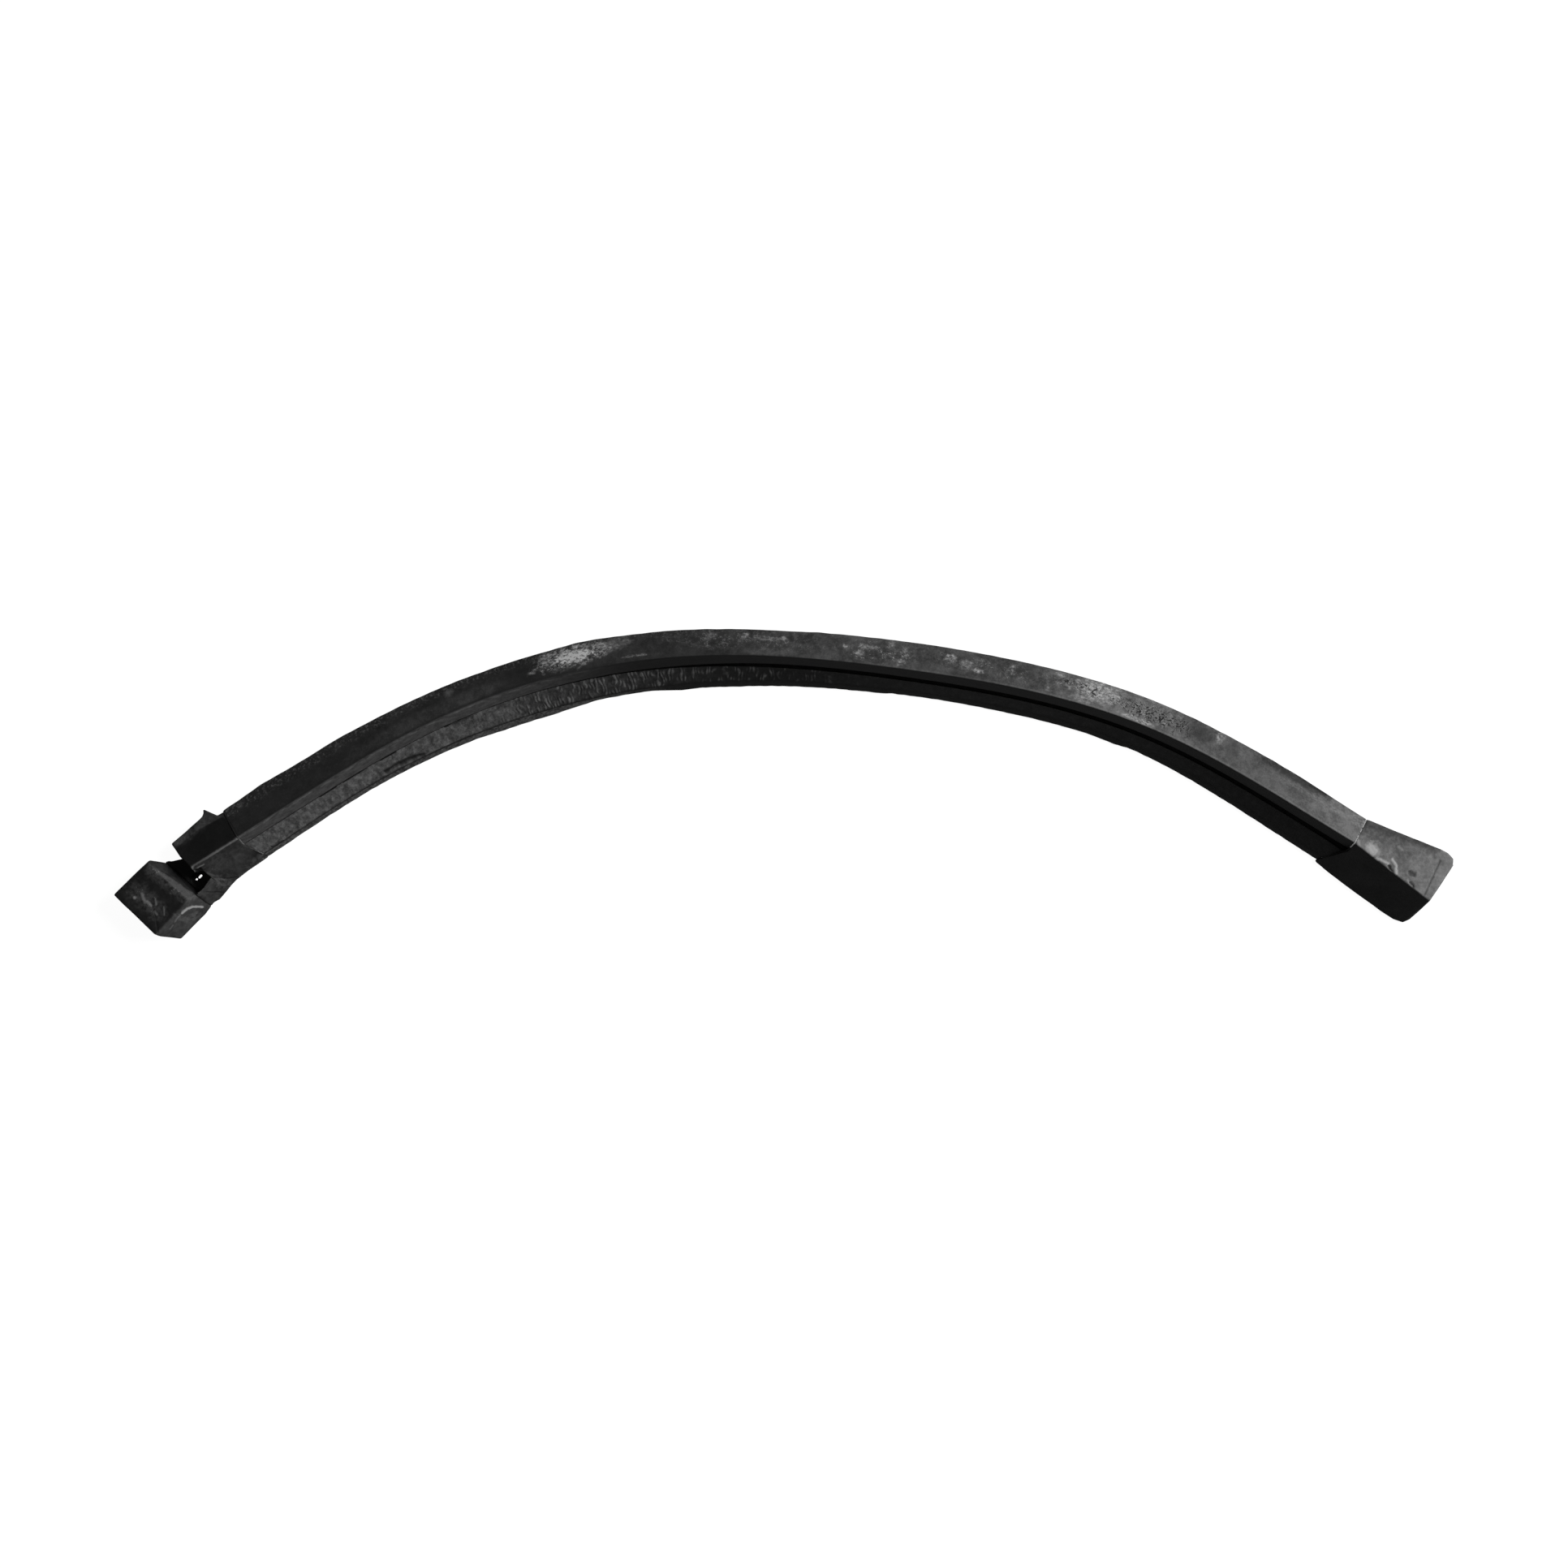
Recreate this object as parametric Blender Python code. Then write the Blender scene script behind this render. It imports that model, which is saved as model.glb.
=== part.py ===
"""Arched weatherstrip seal with a moulded block at each end.

Metres, +Z up. The seal rests on its base, with its chord along X and its crown towards +Y.
The origin is under the middle of the whole seal, at floor level.
A cross-section is drawn in millimetres as (u, z): u runs from the ridge outwards, z up from the floor.
"""
import math

import bmesh
import bpy
from mathutils import Vector

MM = 0.001
GAP = 0.3

# The ridge of the strip, seen from above: a start, a heading and a bend that varies along it
STRIP_LENGTH = 877.0
START_X = -400.5
START_Y = -38.5
START_HEADING = math.radians(31.7)
BENDS_PER_METRE = (0.60, -2.04, -1.99, -0.45, -2.37, 0.62)
STEP = 1.0
STATIONS = 44

# How far the section reaches each side of the ridge, at equal steps along the strip
OUTER_REACH = (22.0, 22.2, 20.4, 19.8, 19.2, 19.2, 20.0, 20.2, 20.6, 20.8, 19.4)
INNER_REACH = (23.2, 20.8, 23.6, 24.8, 22.6, 20.2, 17.8, 17.8, 18.0, 21.0, 23.6)

# Heights of the section
RIDGE_HEIGHT = 27.0
SHOULDER_HEIGHT = 15.0
BULB_FLOOR = 8.6
BASE_TOP = BULB_FLOOR - GAP
BULB_WALL = 2.2

# Carrier strip and cord, which lie in slots of the base
CARRIER_SLOT = (-2.0, 9.6, 6.2)
CARRIER_THICKNESS = 1.3
CORD_SLOT = (11.2, 13.8, 5.6)
CORD_RADIUS = 0.95
CORD_SIDES = 8

# Lengths at the joints between the strip and its moulded ends
EXTRUSION_SETBACK = 0.4
FILM_THICKNESS = 0.6
FILM_PROUD = 0.15
PLUG_LENGTH = 26.0
LEFT_START = EXTRUSION_SETBACK - GAP - FILM_THICKNESS - GAP
RIGHT_START = STRIP_LENGTH - LEFT_START

# Each joint is square across the bulb and slants over the flange, which begins at this u
JOINT_CORNER = -6.4
LEFT_SLANT = 0.55
RIGHT_SLANT = -0.86
JOINT_REACH = 40.0

# Left end
LEFT_SLEEVE_END = -45.2
NOTCH_UNDERSIDE = 0.3
NOTCH_FLOOR = 2.0
FLAP_BOTTOM = 12.6
FLAP_TOP = 15.4
BLOCK_EDGE_RADIUS = 1.1
FOOT_LIP = 1.6

# Right end
TIP_LIP = 2.4

# Fixing inserts: a plate with a bush through it, in a pocket that opens downwards
# Each plate is (centre x, centre y, length, width, turn in degrees)
LEFT_PLATE = (-421.0, -50.0, 30.0, 14.0, 31.7)
RIGHT_PLATE = (452.0, -68.0, 40.0, 16.0, -33.0)
PLATE_BOTTOM = 1.4
PLATE_THICKNESS = 2.0
BUSH_RADIUS = 4.0
BUSH_BORE = 2.6
BUSH_SIDES = 20
BUSH_BOTTOM = 0.6
BUSH_TOP = 9.0

# Heights that a cutter reaches, well clear of the part
BELOW = -5.0
ABOVE = 40.0

RUBBER = (0.022, 0.022, 0.023)
SPONGE = (0.030, 0.030, 0.031)
STEEL = (0.55, 0.55, 0.56)
FOAM = (0.05, 0.05, 0.05)
YARN = (0.55, 0.53, 0.48)
FILM = (0.16, 0.16, 0.16)


def clear_scene():
    for thing in list(bpy.data.objects):
        bpy.data.objects.remove(thing, do_unlink=True)


def spread(values, fraction):
    """Value at a fraction of the way along a list of equally spaced values."""
    place = min(max(fraction, 0.0), 1.0) * (len(values) - 1)
    low = min(int(place), len(values) - 2)
    return values[low] + (values[low + 1] - values[low]) * (place - low)


def eased(values, fraction):
    """As spread, but smoothed by averaging over a short stretch."""
    half = 0.5 / (len(values) - 1)
    samples = [spread(values, fraction + half * offset) for offset in (-1.0, -0.5, 0.0, 0.5, 1.0)]
    return sum(samples) / len(samples)


def ridge_line():
    """Points (x, y, heading) every STEP millimetres along the ridge."""
    x, y, heading = START_X, START_Y, START_HEADING
    points = [(x, y, heading)]
    steps = round(STRIP_LENGTH / STEP)
    for index in range(steps):
        bend = spread(BENDS_PER_METRE, (index + 0.5) / steps) * MM
        middle = heading + bend * STEP / 2
        x += math.cos(middle) * STEP
        y += math.sin(middle) * STEP
        heading += bend * STEP
        points.append((x, y, heading))
    return points


RIDGE = ridge_line()


def place(along, u, z):
    """World point, in metres, of a point of the section at a distance along the ridge.

    Before the start and past the end, the ridge runs on straight.
    """
    inside = min(max(along, 0.0), STRIP_LENGTH)
    x, y, heading = RIDGE[round(inside / STEP)]
    rest = along - round(inside / STEP) * STEP
    x += math.cos(heading) * rest - math.sin(heading) * u
    y += math.sin(heading) * rest + math.cos(heading) * u
    return Vector((x, y, z)) * MM


def material(name, colour, roughness=0.6, metallic=0.0):
    made = bpy.data.materials.new(name)
    made.use_nodes = True
    shader = made.node_tree.nodes["Principled BSDF"]
    shader.inputs["Base Color"].default_value = (*colour, 1.0)
    shader.inputs["Roughness"].default_value = roughness
    shader.inputs["Metallic"].default_value = metallic
    return made


def finish(name, mesh_data, colour, roughness=0.6, metallic=0.0):
    """Turn a bmesh into a named object with outward faces and its own material."""
    bmesh.ops.recalc_face_normals(mesh_data, faces=mesh_data.faces)
    mesh = bpy.data.meshes.new(name)
    mesh_data.to_mesh(mesh)
    mesh_data.free()
    mesh.materials.append(material(name, colour, roughness, metallic))
    thing = bpy.data.objects.new(name, mesh)
    bpy.context.collection.objects.link(thing)
    return thing


def add_ring_walls(mesh_data, rings):
    """Join successive closed rings of points with quads, and return the vertex rings."""
    placed = [[mesh_data.verts.new(point) for point in ring] for ring in rings]
    for first, second in zip(placed, placed[1:]):
        count = len(first)
        for index in range(count):
            after = (index + 1) % count
            mesh_data.faces.new((first[index], first[after], second[after], second[index]))
    return placed


def ring_edges(mesh_data, ring):
    return [mesh_data.edges.get((ring[index - 1], ring[index])) for index in range(len(ring))]


def loft(name, rings, colour, **finish_options):
    """Closed body through a row of rings that have the same number of points."""
    mesh_data = bmesh.new()
    placed = add_ring_walls(mesh_data, rings)
    for ring in (placed[0], placed[-1]):
        mesh_data.faces.new(ring)
    return finish(name, mesh_data, colour, **finish_options)


def hull(name, points, colour, **finish_options):
    """Convex body round a set of points in millimetres."""
    mesh_data = bmesh.new()
    for point in points:
        mesh_data.verts.new(Vector(point) * MM)
    result = bmesh.ops.convex_hull(mesh_data, input=mesh_data.verts)
    left_over = set(result["geom_interior"] + result["geom_unused"])
    spare = [item for item in left_over if isinstance(item, bmesh.types.BMVert)]
    bmesh.ops.delete(mesh_data, geom=spare, context="VERTS")
    flat = math.radians(1)
    bmesh.ops.dissolve_limit(mesh_data, angle_limit=flat, verts=mesh_data.verts, edges=mesh_data.edges)
    return finish(name, mesh_data, colour, **finish_options)


def prism(name, outline, low, high, colour, **finish_options):
    """Upright prism on a plan outline of (x, y) points in millimetres."""
    rings = [[Vector((x, y, z)) * MM for x, y in outline] for z in (low, high)]
    return loft(name, rings, colour, **finish_options)


def bevel(thing, radius, segments=2, angle=25.0):
    modifier = thing.modifiers.new("edges", "BEVEL")
    modifier.width = radius * MM
    modifier.segments = segments
    modifier.limit_method = "ANGLE"
    modifier.angle_limit = math.radians(angle)


def as_tool(thing):
    thing.hide_render = True
    thing.display_type = "WIRE"


def combine(thing, tool, operation, solver="EXACT"):
    as_tool(tool)
    modifier = thing.modifiers.new(tool.name, "BOOLEAN")
    modifier.operation = operation
    modifier.solver = solver
    modifier.object = tool


def strip_plan(points):
    """Plan outline in millimetres of points (along, u) of the strip."""
    outline = []
    for along, u in points:
        point = place(along, u, 0.0)
        outline.append((point.x / MM, point.y / MM))
    return outline


def strip_sections(outline, start=EXTRUSION_SETBACK, end=STRIP_LENGTH - EXTRUSION_SETBACK, count=STATIONS):
    """Rings of an outline function swept from start to end along the ridge."""
    rings = []
    for index in range(count + 1):
        along = start + (end - start) * index / count
        fraction = along / STRIP_LENGTH
        section = outline(eased(OUTER_REACH, fraction), eased(INNER_REACH, fraction))
        rings.append([place(along, u, z) for u, z in section])
    return rings


# Cross-sections, each a function of the outer and inner reach at that place

def bulb_outline(outer, inner):
    return [
        (0.0, RIDGE_HEIGHT),
        (outer - 0.9, SHOULDER_HEIGHT + 0.6),
        (outer, SHOULDER_HEIGHT - 0.8),
        (outer - 0.9, SHOULDER_HEIGHT - 4.5),
        (outer - 4.0, BULB_FLOOR),
        (-3.6, BULB_FLOOR),
        (-3.8, 13.2),
        (-6.6, 17.0),
        (-6.5, 18.4),
    ]


def hollow_outline(outer, inner, shrink=0.0):
    """The air chamber inside the bulb; shrink draws its walls in."""
    return [
        (0.2, RIDGE_HEIGHT - BULB_WALL - 1.2 - shrink * 1.4),
        (outer - BULB_WALL - 1.4 - shrink, SHOULDER_HEIGHT - 1.6 - shrink * 0.7),
        (outer - BULB_WALL - 2.2 - shrink, SHOULDER_HEIGHT - 3.6 - shrink * 0.3),
        (outer - BULB_WALL - 4.2 - shrink, BULB_FLOOR + BULB_WALL + shrink),
        (-3.6 + BULB_WALL + shrink, BULB_FLOOR + BULB_WALL + shrink),
        (-3.6 + BULB_WALL + shrink, 14.2),
        (-3.8 + shrink, 18.4),
    ]


def plug_outline(outer, inner):
    return hollow_outline(outer, inner, shrink=GAP)


def base_outline(outer, inner):
    left, right, floor = CARRIER_SLOT
    cord_left, cord_right, cord_floor = CORD_SLOT
    edge = -(inner - 2.9)
    return [
        (14.2, 0.0),
        (16.4, 1.4),
        (16.4, BASE_TOP),
        (cord_right, BASE_TOP),
        (cord_right, cord_floor),
        (cord_left, cord_floor),
        (cord_left, BASE_TOP),
        (right, BASE_TOP),
        (right, floor),
        (left, floor),
        (left, BASE_TOP),
        (-7.4, BASE_TOP),
        (-8.2, 12.6),
        (edge, 4.2),
        (edge, 0.7),
        (edge + 2.2, 0.0),
    ]


def pad_outline(outer, inner):
    edge = -(inner - 2.7)
    return [
        (-8.4, 14.9),
        (edge, 6.4),
        (edge, 4.5),
        (-8.4, 12.95),
    ]


def lip_outline(outer, inner):
    root = -(inner - 2.4)
    return [
        (root, 5.8),
        (-inner + 0.3, 2.6),
        (-inner, 1.2),
        (root, 0.5),
    ]


def carrier_outline(outer, inner):
    left, right, floor = CARRIER_SLOT
    low = floor + GAP
    return [
        (left + GAP, low),
        (right - GAP, low),
        (right - GAP, low + CARRIER_THICKNESS),
        (left + GAP, low + CARRIER_THICKNESS),
    ]


def cord_outline(outer, inner):
    middle_u = (CORD_SLOT[0] + CORD_SLOT[1]) / 2
    middle_z = CORD_SLOT[2] + GAP + CORD_RADIUS
    turns = [2 * math.pi * index / CORD_SIDES for index in range(CORD_SIDES)]
    return [(middle_u + CORD_RADIUS * math.cos(t), middle_z + CORD_RADIUS * math.sin(t)) for t in turns]


def film_outline(outer, inner):
    """The whole section, a little proud, as it shows at a moulded joint."""
    return [
        (0.0, RIDGE_HEIGHT + FILM_PROUD),
        (outer - 0.8, SHOULDER_HEIGHT + 0.6 + FILM_PROUD),
        (outer + FILM_PROUD, SHOULDER_HEIGHT - 0.8),
        (outer - 0.8, SHOULDER_HEIGHT - 4.5),
        (16.4, 1.4),
        (14.2, 0.2),
        (-inner + 4.8, 0.2),
        (-inner + 2.7, 6.2 + FILM_PROUD),
        (-8.4, 14.9 + FILM_PROUD),
        (-6.6, 18.0),
    ]


# Pieces of the extruded strip

def sealing_bulb():
    """Hollow sponge bulb: the smooth outer face, the ridge and the narrow inner face."""
    mesh_data = bmesh.new()
    outside = add_ring_walls(mesh_data, strip_sections(bulb_outline))
    inside = add_ring_walls(mesh_data, strip_sections(hollow_outline))
    for end in (0, -1):
        edges = ring_edges(mesh_data, outside[end]) + ring_edges(mesh_data, inside[end])
        bmesh.ops.triangle_fill(mesh_data, edges=edges, use_beauty=True)
    finish("sealing_bulb", mesh_data, RUBBER, roughness=0.5)


def slant_line(start, slant):
    """The joint's two ends over the flange, as (along, u)."""
    return (start, JOINT_CORNER), (start + slant * (JOINT_REACH + JOINT_CORNER), -JOINT_REACH)


def slant_cut(thing, start, slant):
    """Trim a flange piece back to the slanted part of a joint."""
    near, far = slant_line(start, slant)
    outside = start - math.copysign(JOINT_REACH, slant)
    outline = strip_plan((near, far, (outside, -JOINT_REACH), (outside, JOINT_CORNER)))
    combine(thing, prism(thing.name + "_cut", outline, BELOW, ABOVE, RUBBER), "DIFFERENCE")


def extruded_pieces():
    flange = (
        loft("base_extrusion", strip_sections(base_outline), RUBBER, roughness=0.6),
        loft("flange_pad", strip_sections(pad_outline), SPONGE, roughness=0.85),
        loft("drip_lip", strip_sections(lip_outline), RUBBER, roughness=0.6),
    )
    for thing in flange:
        slant_cut(thing, EXTRUSION_SETBACK, LEFT_SLANT)
        slant_cut(thing, STRIP_LENGTH - EXTRUSION_SETBACK, RIGHT_SLANT)
    loft("steel_carrier", strip_sections(carrier_outline), STEEL, roughness=0.4, metallic=1.0)
    loft("stretch_cord", strip_sections(cord_outline), YARN, roughness=0.9)


def bulb_plugs():
    inset = 2 * EXTRUSION_SETBACK
    far = STRIP_LENGTH - inset
    loft("left_bulb_plug", strip_sections(plug_outline, inset, inset + PLUG_LENGTH, 2), FOAM, roughness=0.95)
    loft("right_bulb_plug", strip_sections(plug_outline, far - PLUG_LENGTH, far, 2), FOAM, roughness=0.95)


def splice_film(name, low, slant):
    """A length of the whole section, kept only where the joint's thin band passes through it."""
    high = low + FILM_THICKNESS
    run = slant * JOINT_REACH
    sections = strip_sections(film_outline, min(low, low + run), max(high, high + run), 2)
    thing = loft(name, sections, FILM, roughness=0.5)
    low_near, low_far = slant_line(low, slant)
    high_near, high_far = slant_line(high, slant)
    band = ((low, JOINT_REACH), low_near, low_far, high_far, high_near, (high, JOINT_REACH))
    combine(thing, prism(name + "_band", strip_plan(band), BELOW, ABOVE, FILM), "INTERSECT")


def splice_films():
    near = EXTRUSION_SETBACK - GAP
    splice_film("left_splice_film", near - FILM_THICKNESS, LEFT_SLANT)
    splice_film("right_splice_film", STRIP_LENGTH - near, RIGHT_SLANT)


# Left end: a sleeve that carries the section on, an arm under the flange, and a web below the notch

def left_sleeve():
    """Carries the bulb's section on to the edge of the notch, and turns flatter on its outer side."""
    start = LEFT_START
    end = LEFT_SLEEVE_END
    sections = (
        (
            (start, 0.0, 27.0),
            (start, 20.4, 15.6),
            (start, 21.4, 14.0),
            (start, 20.0, 9.0),
            (start, 16.4, 1.2),
            (start, 14.4, 0.0),
            (start, -7.4, 0.0),
            (start, -7.4, 17.8),
            (start, -2.8, 23.8),
        ),
        (
            (-22.0, -1.4, 26.8),
            (-24.0, 15.4, 17.0),
            (-22.0, 22.0, 14.0),
            (-22.0, 20.6, 9.0),
            (-22.0, 16.8, 1.2),
            (-22.0, 14.8, 0.0),
            (-26.0, -7.5, 0.0),
            (-26.0, -7.5, 17.8),
            (-22.0, -4.2, 23.4),
        ),
        (
            (end + 4.6, -2.7, 26.4),
            (end + 0.4, 9.4, 18.4),
            (end, 20.6, 14.8),
            (end, 19.6, 9.0),
            (end, 16.2, 1.2),
            (end, 14.2, 0.0),
            (end + 4.6, -7.4, 0.0),
            (end + 4.6, -7.4, 18.6),
            (end + 4.6, -6.2, 23.0),
        ),
    )
    rings = [[place(*point) for point in section] for section in sections]
    return loft("left_end_moulding", rings, RUBBER, roughness=0.55)


def left_arm():
    """The smooth inner slope, which turns from the flange towards the end block.

    Each station is (along, u, z) of its upper edge and (along, u) of its lower edge.
    """
    root = -5.4
    foot = -23.4
    root_start = LEFT_START + LEFT_SLANT * (JOINT_CORNER - root)
    foot_start = LEFT_START + LEFT_SLANT * (JOINT_CORNER - foot)
    stations = (
        (root_start, root, 18.6, foot_start, foot),
        (-10.0, -6.6, 18.6, -10.0, -24.2),
        (-26.0, -7.2, 18.4, -20.0, -25.4),
        (-36.0, -6.8, 18.8, -24.0, -26.4),
        (-35.2, -9.6, 17.8, -26.5, -27.1),
        (-33.8, -14.8, 17.0, -29.5, -28.2),
        (-42.3, -18.7, 19.0, -38.0, -31.0),
        (-48.6, -20.4, 21.6, -45.2, -32.8),
    )
    rings = []
    for top_along, top_u, top_z, low_along, low_u in stations:
        rings.append([
            place(top_along, top_u, top_z),
            place(low_along, low_u, 2.2),
            place(low_along, low_u + 0.8, 0.0),
            place(top_along, top_u, 0.0),
        ])
    return loft("left_arm", rings, RUBBER)


def left_web():
    """Low floor of the notch, which ties the sleeve to the block."""
    outline = (
        (-456.3, -58.1),
        (-444.6, -55.4),
        (-430.0, -50.0),
        (-415.0, -60.0),
        (-420.0, -72.0),
        (-427.4, -79.6),
        (-431.8, -80.2),
        (-434.9, -77.1),
    )
    return prism("left_web", outline, NOTCH_UNDERSIDE, NOTCH_FLOOR, RUBBER)


def left_fin():
    """Flap along the sleeve's outer side, which ends in a fin by the joint."""
    plan = (
        (-5.7, 17.0),
        (-5.7, 20.8),
        (-12.5, 30.9),
        (-13.4, 28.6),
        (-15.6, 26.8),
        (-19.4, 25.7),
        (-45.4, 21.4),
        (-44.6, 12.0),
        (-25.0, 14.0),
    )
    return prism("left_fin", strip_plan(plan), FLAP_BOTTOM, FLAP_TOP, RUBBER)


def left_slit():
    """Narrow way through the floor of the notch, beside the sleeve."""
    outline = ((-437.2, -71.9), (-433.0, -69.2), (-428.3, -64.6), (-430.6, -68.6), (-434.4, -71.4))
    return prism("left_slit", outline, BELOW, ABOVE, RUBBER)


def insert_pocket(body, side, plate):
    """Pocket for a plate and its bush, open at the underside."""
    tower = disc(plate, BUSH_RADIUS + GAP)
    combine(body, prism(side + "_bush_pocket", tower, BELOW, BUSH_TOP + GAP, RUBBER), "DIFFERENCE")
    outline = plate_outline(*plate, clearance=GAP)
    top = PLATE_BOTTOM + PLATE_THICKNESS + GAP
    combine(body, prism(side + "_pocket", outline, BELOW, top, RUBBER), "DIFFERENCE")


def left_end_moulding():
    body = left_sleeve()
    combine(body, left_arm(), "UNION")
    combine(body, left_web(), "UNION", solver="MANIFOLD")
    combine(body, left_fin(), "UNION")
    combine(body, left_slit(), "DIFFERENCE")
    insert_pocket(body, "left", LEFT_PLATE)


def left_end_block():
    """Leaning block beyond the notch."""
    top = (
        (-466.8, -57.9, 25.0),
        (-491.6, -81.4, 23.5),
        (-461.2, -110.2, 25.5),
        (-436.6, -84.6, 27.0),
        (-431.6, -81.6, 21.4),
    )
    foot = (
        (-469.0, -56.4),
        (-493.4, -81.4),
        (-461.6, -112.2),
        (-445.6, -114.2),
        (-427.4, -95.9),
        (-422.4, -91.0),
        (-435.2, -77.5),
        (-456.6, -58.4),
    )
    points = list(top) + [(x, y, z) for x, y in foot for z in (0.0, FOOT_LIP)]
    thing = hull("left_end_block", points, RUBBER, roughness=0.5)
    bevel(thing, BLOCK_EDGE_RADIUS)


# Right end: a wedge-shaped moulding with a rounded tip and a tongue over the flange

def right_end_moulding():
    top = (
        (416.0, -41.6, 27.0),
        (473.4, -85.8, 25.0),
        (428.8, -26.0, 15.4),
        (482.4, -48.0, 17.4),
        (487.8, -50.6, 17.2),
        (492.2, -55.0, 17.0),
        (492.0, -60.0, 17.4),
    )
    foot = (
        (426.0, -31.0, 0.0),
        (480.4, -51.0, 0.0),
        (486.0, -53.4, 0.0),
        (489.2, -58.0, 0.0),
        (488.8, -62.4, 0.0),
        (390.6, -53.6, 0.0),
        (393.4, -57.8, 0.0),
        (404.0, -66.6, 0.0),
        (441.6, -94.4, 0.0),
        (450.0, -99.6, 0.0),
        (457.2, -102.2, 0.0),
        (462.2, -100.0, 0.0),
        (474.4, -86.6, 0.0),
    )
    lip = [(x, y, TIP_LIP) for x, y, _ in foot[5:]]
    thing = hull("right_end_moulding", top + foot + tuple(lip), RUBBER, roughness=0.55)
    combine(thing, prism("right_trim", joint_side(), BELOW, ABOVE, RUBBER), "DIFFERENCE")
    insert_pocket(thing, "right", RIGHT_PLATE)


def joint_side():
    """Plan outline of everything on the strip's side of the right joint."""
    behind = RIGHT_START - 2 * JOINT_REACH
    near, far = slant_line(RIGHT_START, RIGHT_SLANT)
    return strip_plan(((RIGHT_START, JOINT_REACH), (behind, JOINT_REACH), (behind, -JOINT_REACH), far, near))


# Fixing inserts

def plate_outline(x, y, length, width, turn, clearance=0.0):
    half_length = length / 2 + clearance
    half_width = width / 2 + clearance
    cosine = math.cos(math.radians(turn))
    sine = math.sin(math.radians(turn))
    outline = []
    for end, side in ((-1, -1), (1, -1), (1, 1), (-1, 1)):
        a = end * half_length
        b = side * half_width
        outline.append((x + a * cosine - b * sine, y + a * sine + b * cosine))
    return outline


def disc(plate, radius):
    turns = [2 * math.pi * index / BUSH_SIDES for index in range(BUSH_SIDES)]
    return [(plate[0] + radius * math.cos(t), plate[1] + radius * math.sin(t)) for t in turns]


def insert_plate(side, plate):
    outline = plate_outline(*plate)
    top = PLATE_BOTTOM + PLATE_THICKNESS
    thing = prism(side + "_insert_plate", outline, PLATE_BOTTOM, top, STEEL, roughness=0.4, metallic=1.0)
    hole = prism(side + "_plate_hole", disc(plate, BUSH_RADIUS + GAP), BELOW, ABOVE, STEEL)
    combine(thing, hole, "DIFFERENCE")


def fixing_bush(side, plate):
    thing = prism(side + "_fixing_bush", disc(plate, BUSH_RADIUS), BUSH_BOTTOM, BUSH_TOP, STEEL,
                  roughness=0.35, metallic=1.0)
    bore = prism(side + "_bush_bore", disc(plate, BUSH_BORE), BELOW, ABOVE, STEEL)
    combine(thing, bore, "DIFFERENCE")
    thing.data.shade_smooth()
    thing.data.set_sharp_from_angle(angle=math.radians(40))


def build():
    clear_scene()
    sealing_bulb()
    extruded_pieces()
    bulb_plugs()
    splice_films()
    left_end_moulding()
    left_end_block()
    right_end_moulding()
    for side, plate in (("left", LEFT_PLATE), ("right", RIGHT_PLATE)):
        insert_plate(side, plate)
        fixing_bush(side, plate)


build()
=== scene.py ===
import math

import bmesh
import bpy
import numpy as np
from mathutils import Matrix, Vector, noise


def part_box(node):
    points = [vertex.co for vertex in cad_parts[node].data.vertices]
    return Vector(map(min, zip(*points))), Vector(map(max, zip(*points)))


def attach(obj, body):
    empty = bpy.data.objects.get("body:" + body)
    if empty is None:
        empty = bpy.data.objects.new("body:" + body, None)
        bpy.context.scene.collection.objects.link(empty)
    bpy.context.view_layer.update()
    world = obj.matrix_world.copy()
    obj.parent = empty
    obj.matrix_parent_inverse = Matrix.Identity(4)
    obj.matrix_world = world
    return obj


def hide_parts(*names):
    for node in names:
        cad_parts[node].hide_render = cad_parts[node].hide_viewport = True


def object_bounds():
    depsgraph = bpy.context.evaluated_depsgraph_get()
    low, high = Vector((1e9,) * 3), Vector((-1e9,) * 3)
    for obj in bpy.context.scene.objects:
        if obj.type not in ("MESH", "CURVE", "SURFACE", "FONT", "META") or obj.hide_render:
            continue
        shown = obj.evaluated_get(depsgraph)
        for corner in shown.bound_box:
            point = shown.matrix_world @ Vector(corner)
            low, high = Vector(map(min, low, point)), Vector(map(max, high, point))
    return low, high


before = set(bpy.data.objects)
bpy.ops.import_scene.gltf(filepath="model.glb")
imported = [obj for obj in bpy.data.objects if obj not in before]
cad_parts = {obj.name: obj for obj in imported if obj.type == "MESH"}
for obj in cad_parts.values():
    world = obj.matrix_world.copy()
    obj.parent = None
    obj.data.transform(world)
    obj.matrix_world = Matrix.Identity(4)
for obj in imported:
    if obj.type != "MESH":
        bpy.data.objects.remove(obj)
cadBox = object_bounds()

mm = 0.001

# The strip as the CAD has it: a ridge line that starts, heads and bends, and the reach of the section on each
# side of it. Lengths are in millimetres, "along" runs down the ridge, "across" is positive on the outer side.
strip = {
    "length": 877.0,
    "start": (-400.5, -38.5),
    "heading": 31.7,
    "bendsPerMetre": (0.60, -2.04, -1.99, -0.45, -2.37, 0.62),
    "outerReach": (22.0, 22.2, 20.4, 19.8, 19.2, 19.2, 20.0, 20.2, 20.6, 20.8, 19.4),
    "innerReach": (23.2, 20.8, 23.6, 24.8, 22.6, 20.2, 17.8, 17.8, 18.0, 21.0, 23.6),
    "setback": 0.05,
}

# Where the joints leave the square cut and slant over the flange
joint = {
    "from": -6.4,
    "leftSlant": 0.55,
    "rightSlant": 0.86,
    "fade": 32.0,
}

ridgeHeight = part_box("sealing_bulb")[1].z / mm
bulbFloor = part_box("sealing_bulb")[0].z / mm
baseTop = bulbFloor - 0.3


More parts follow.
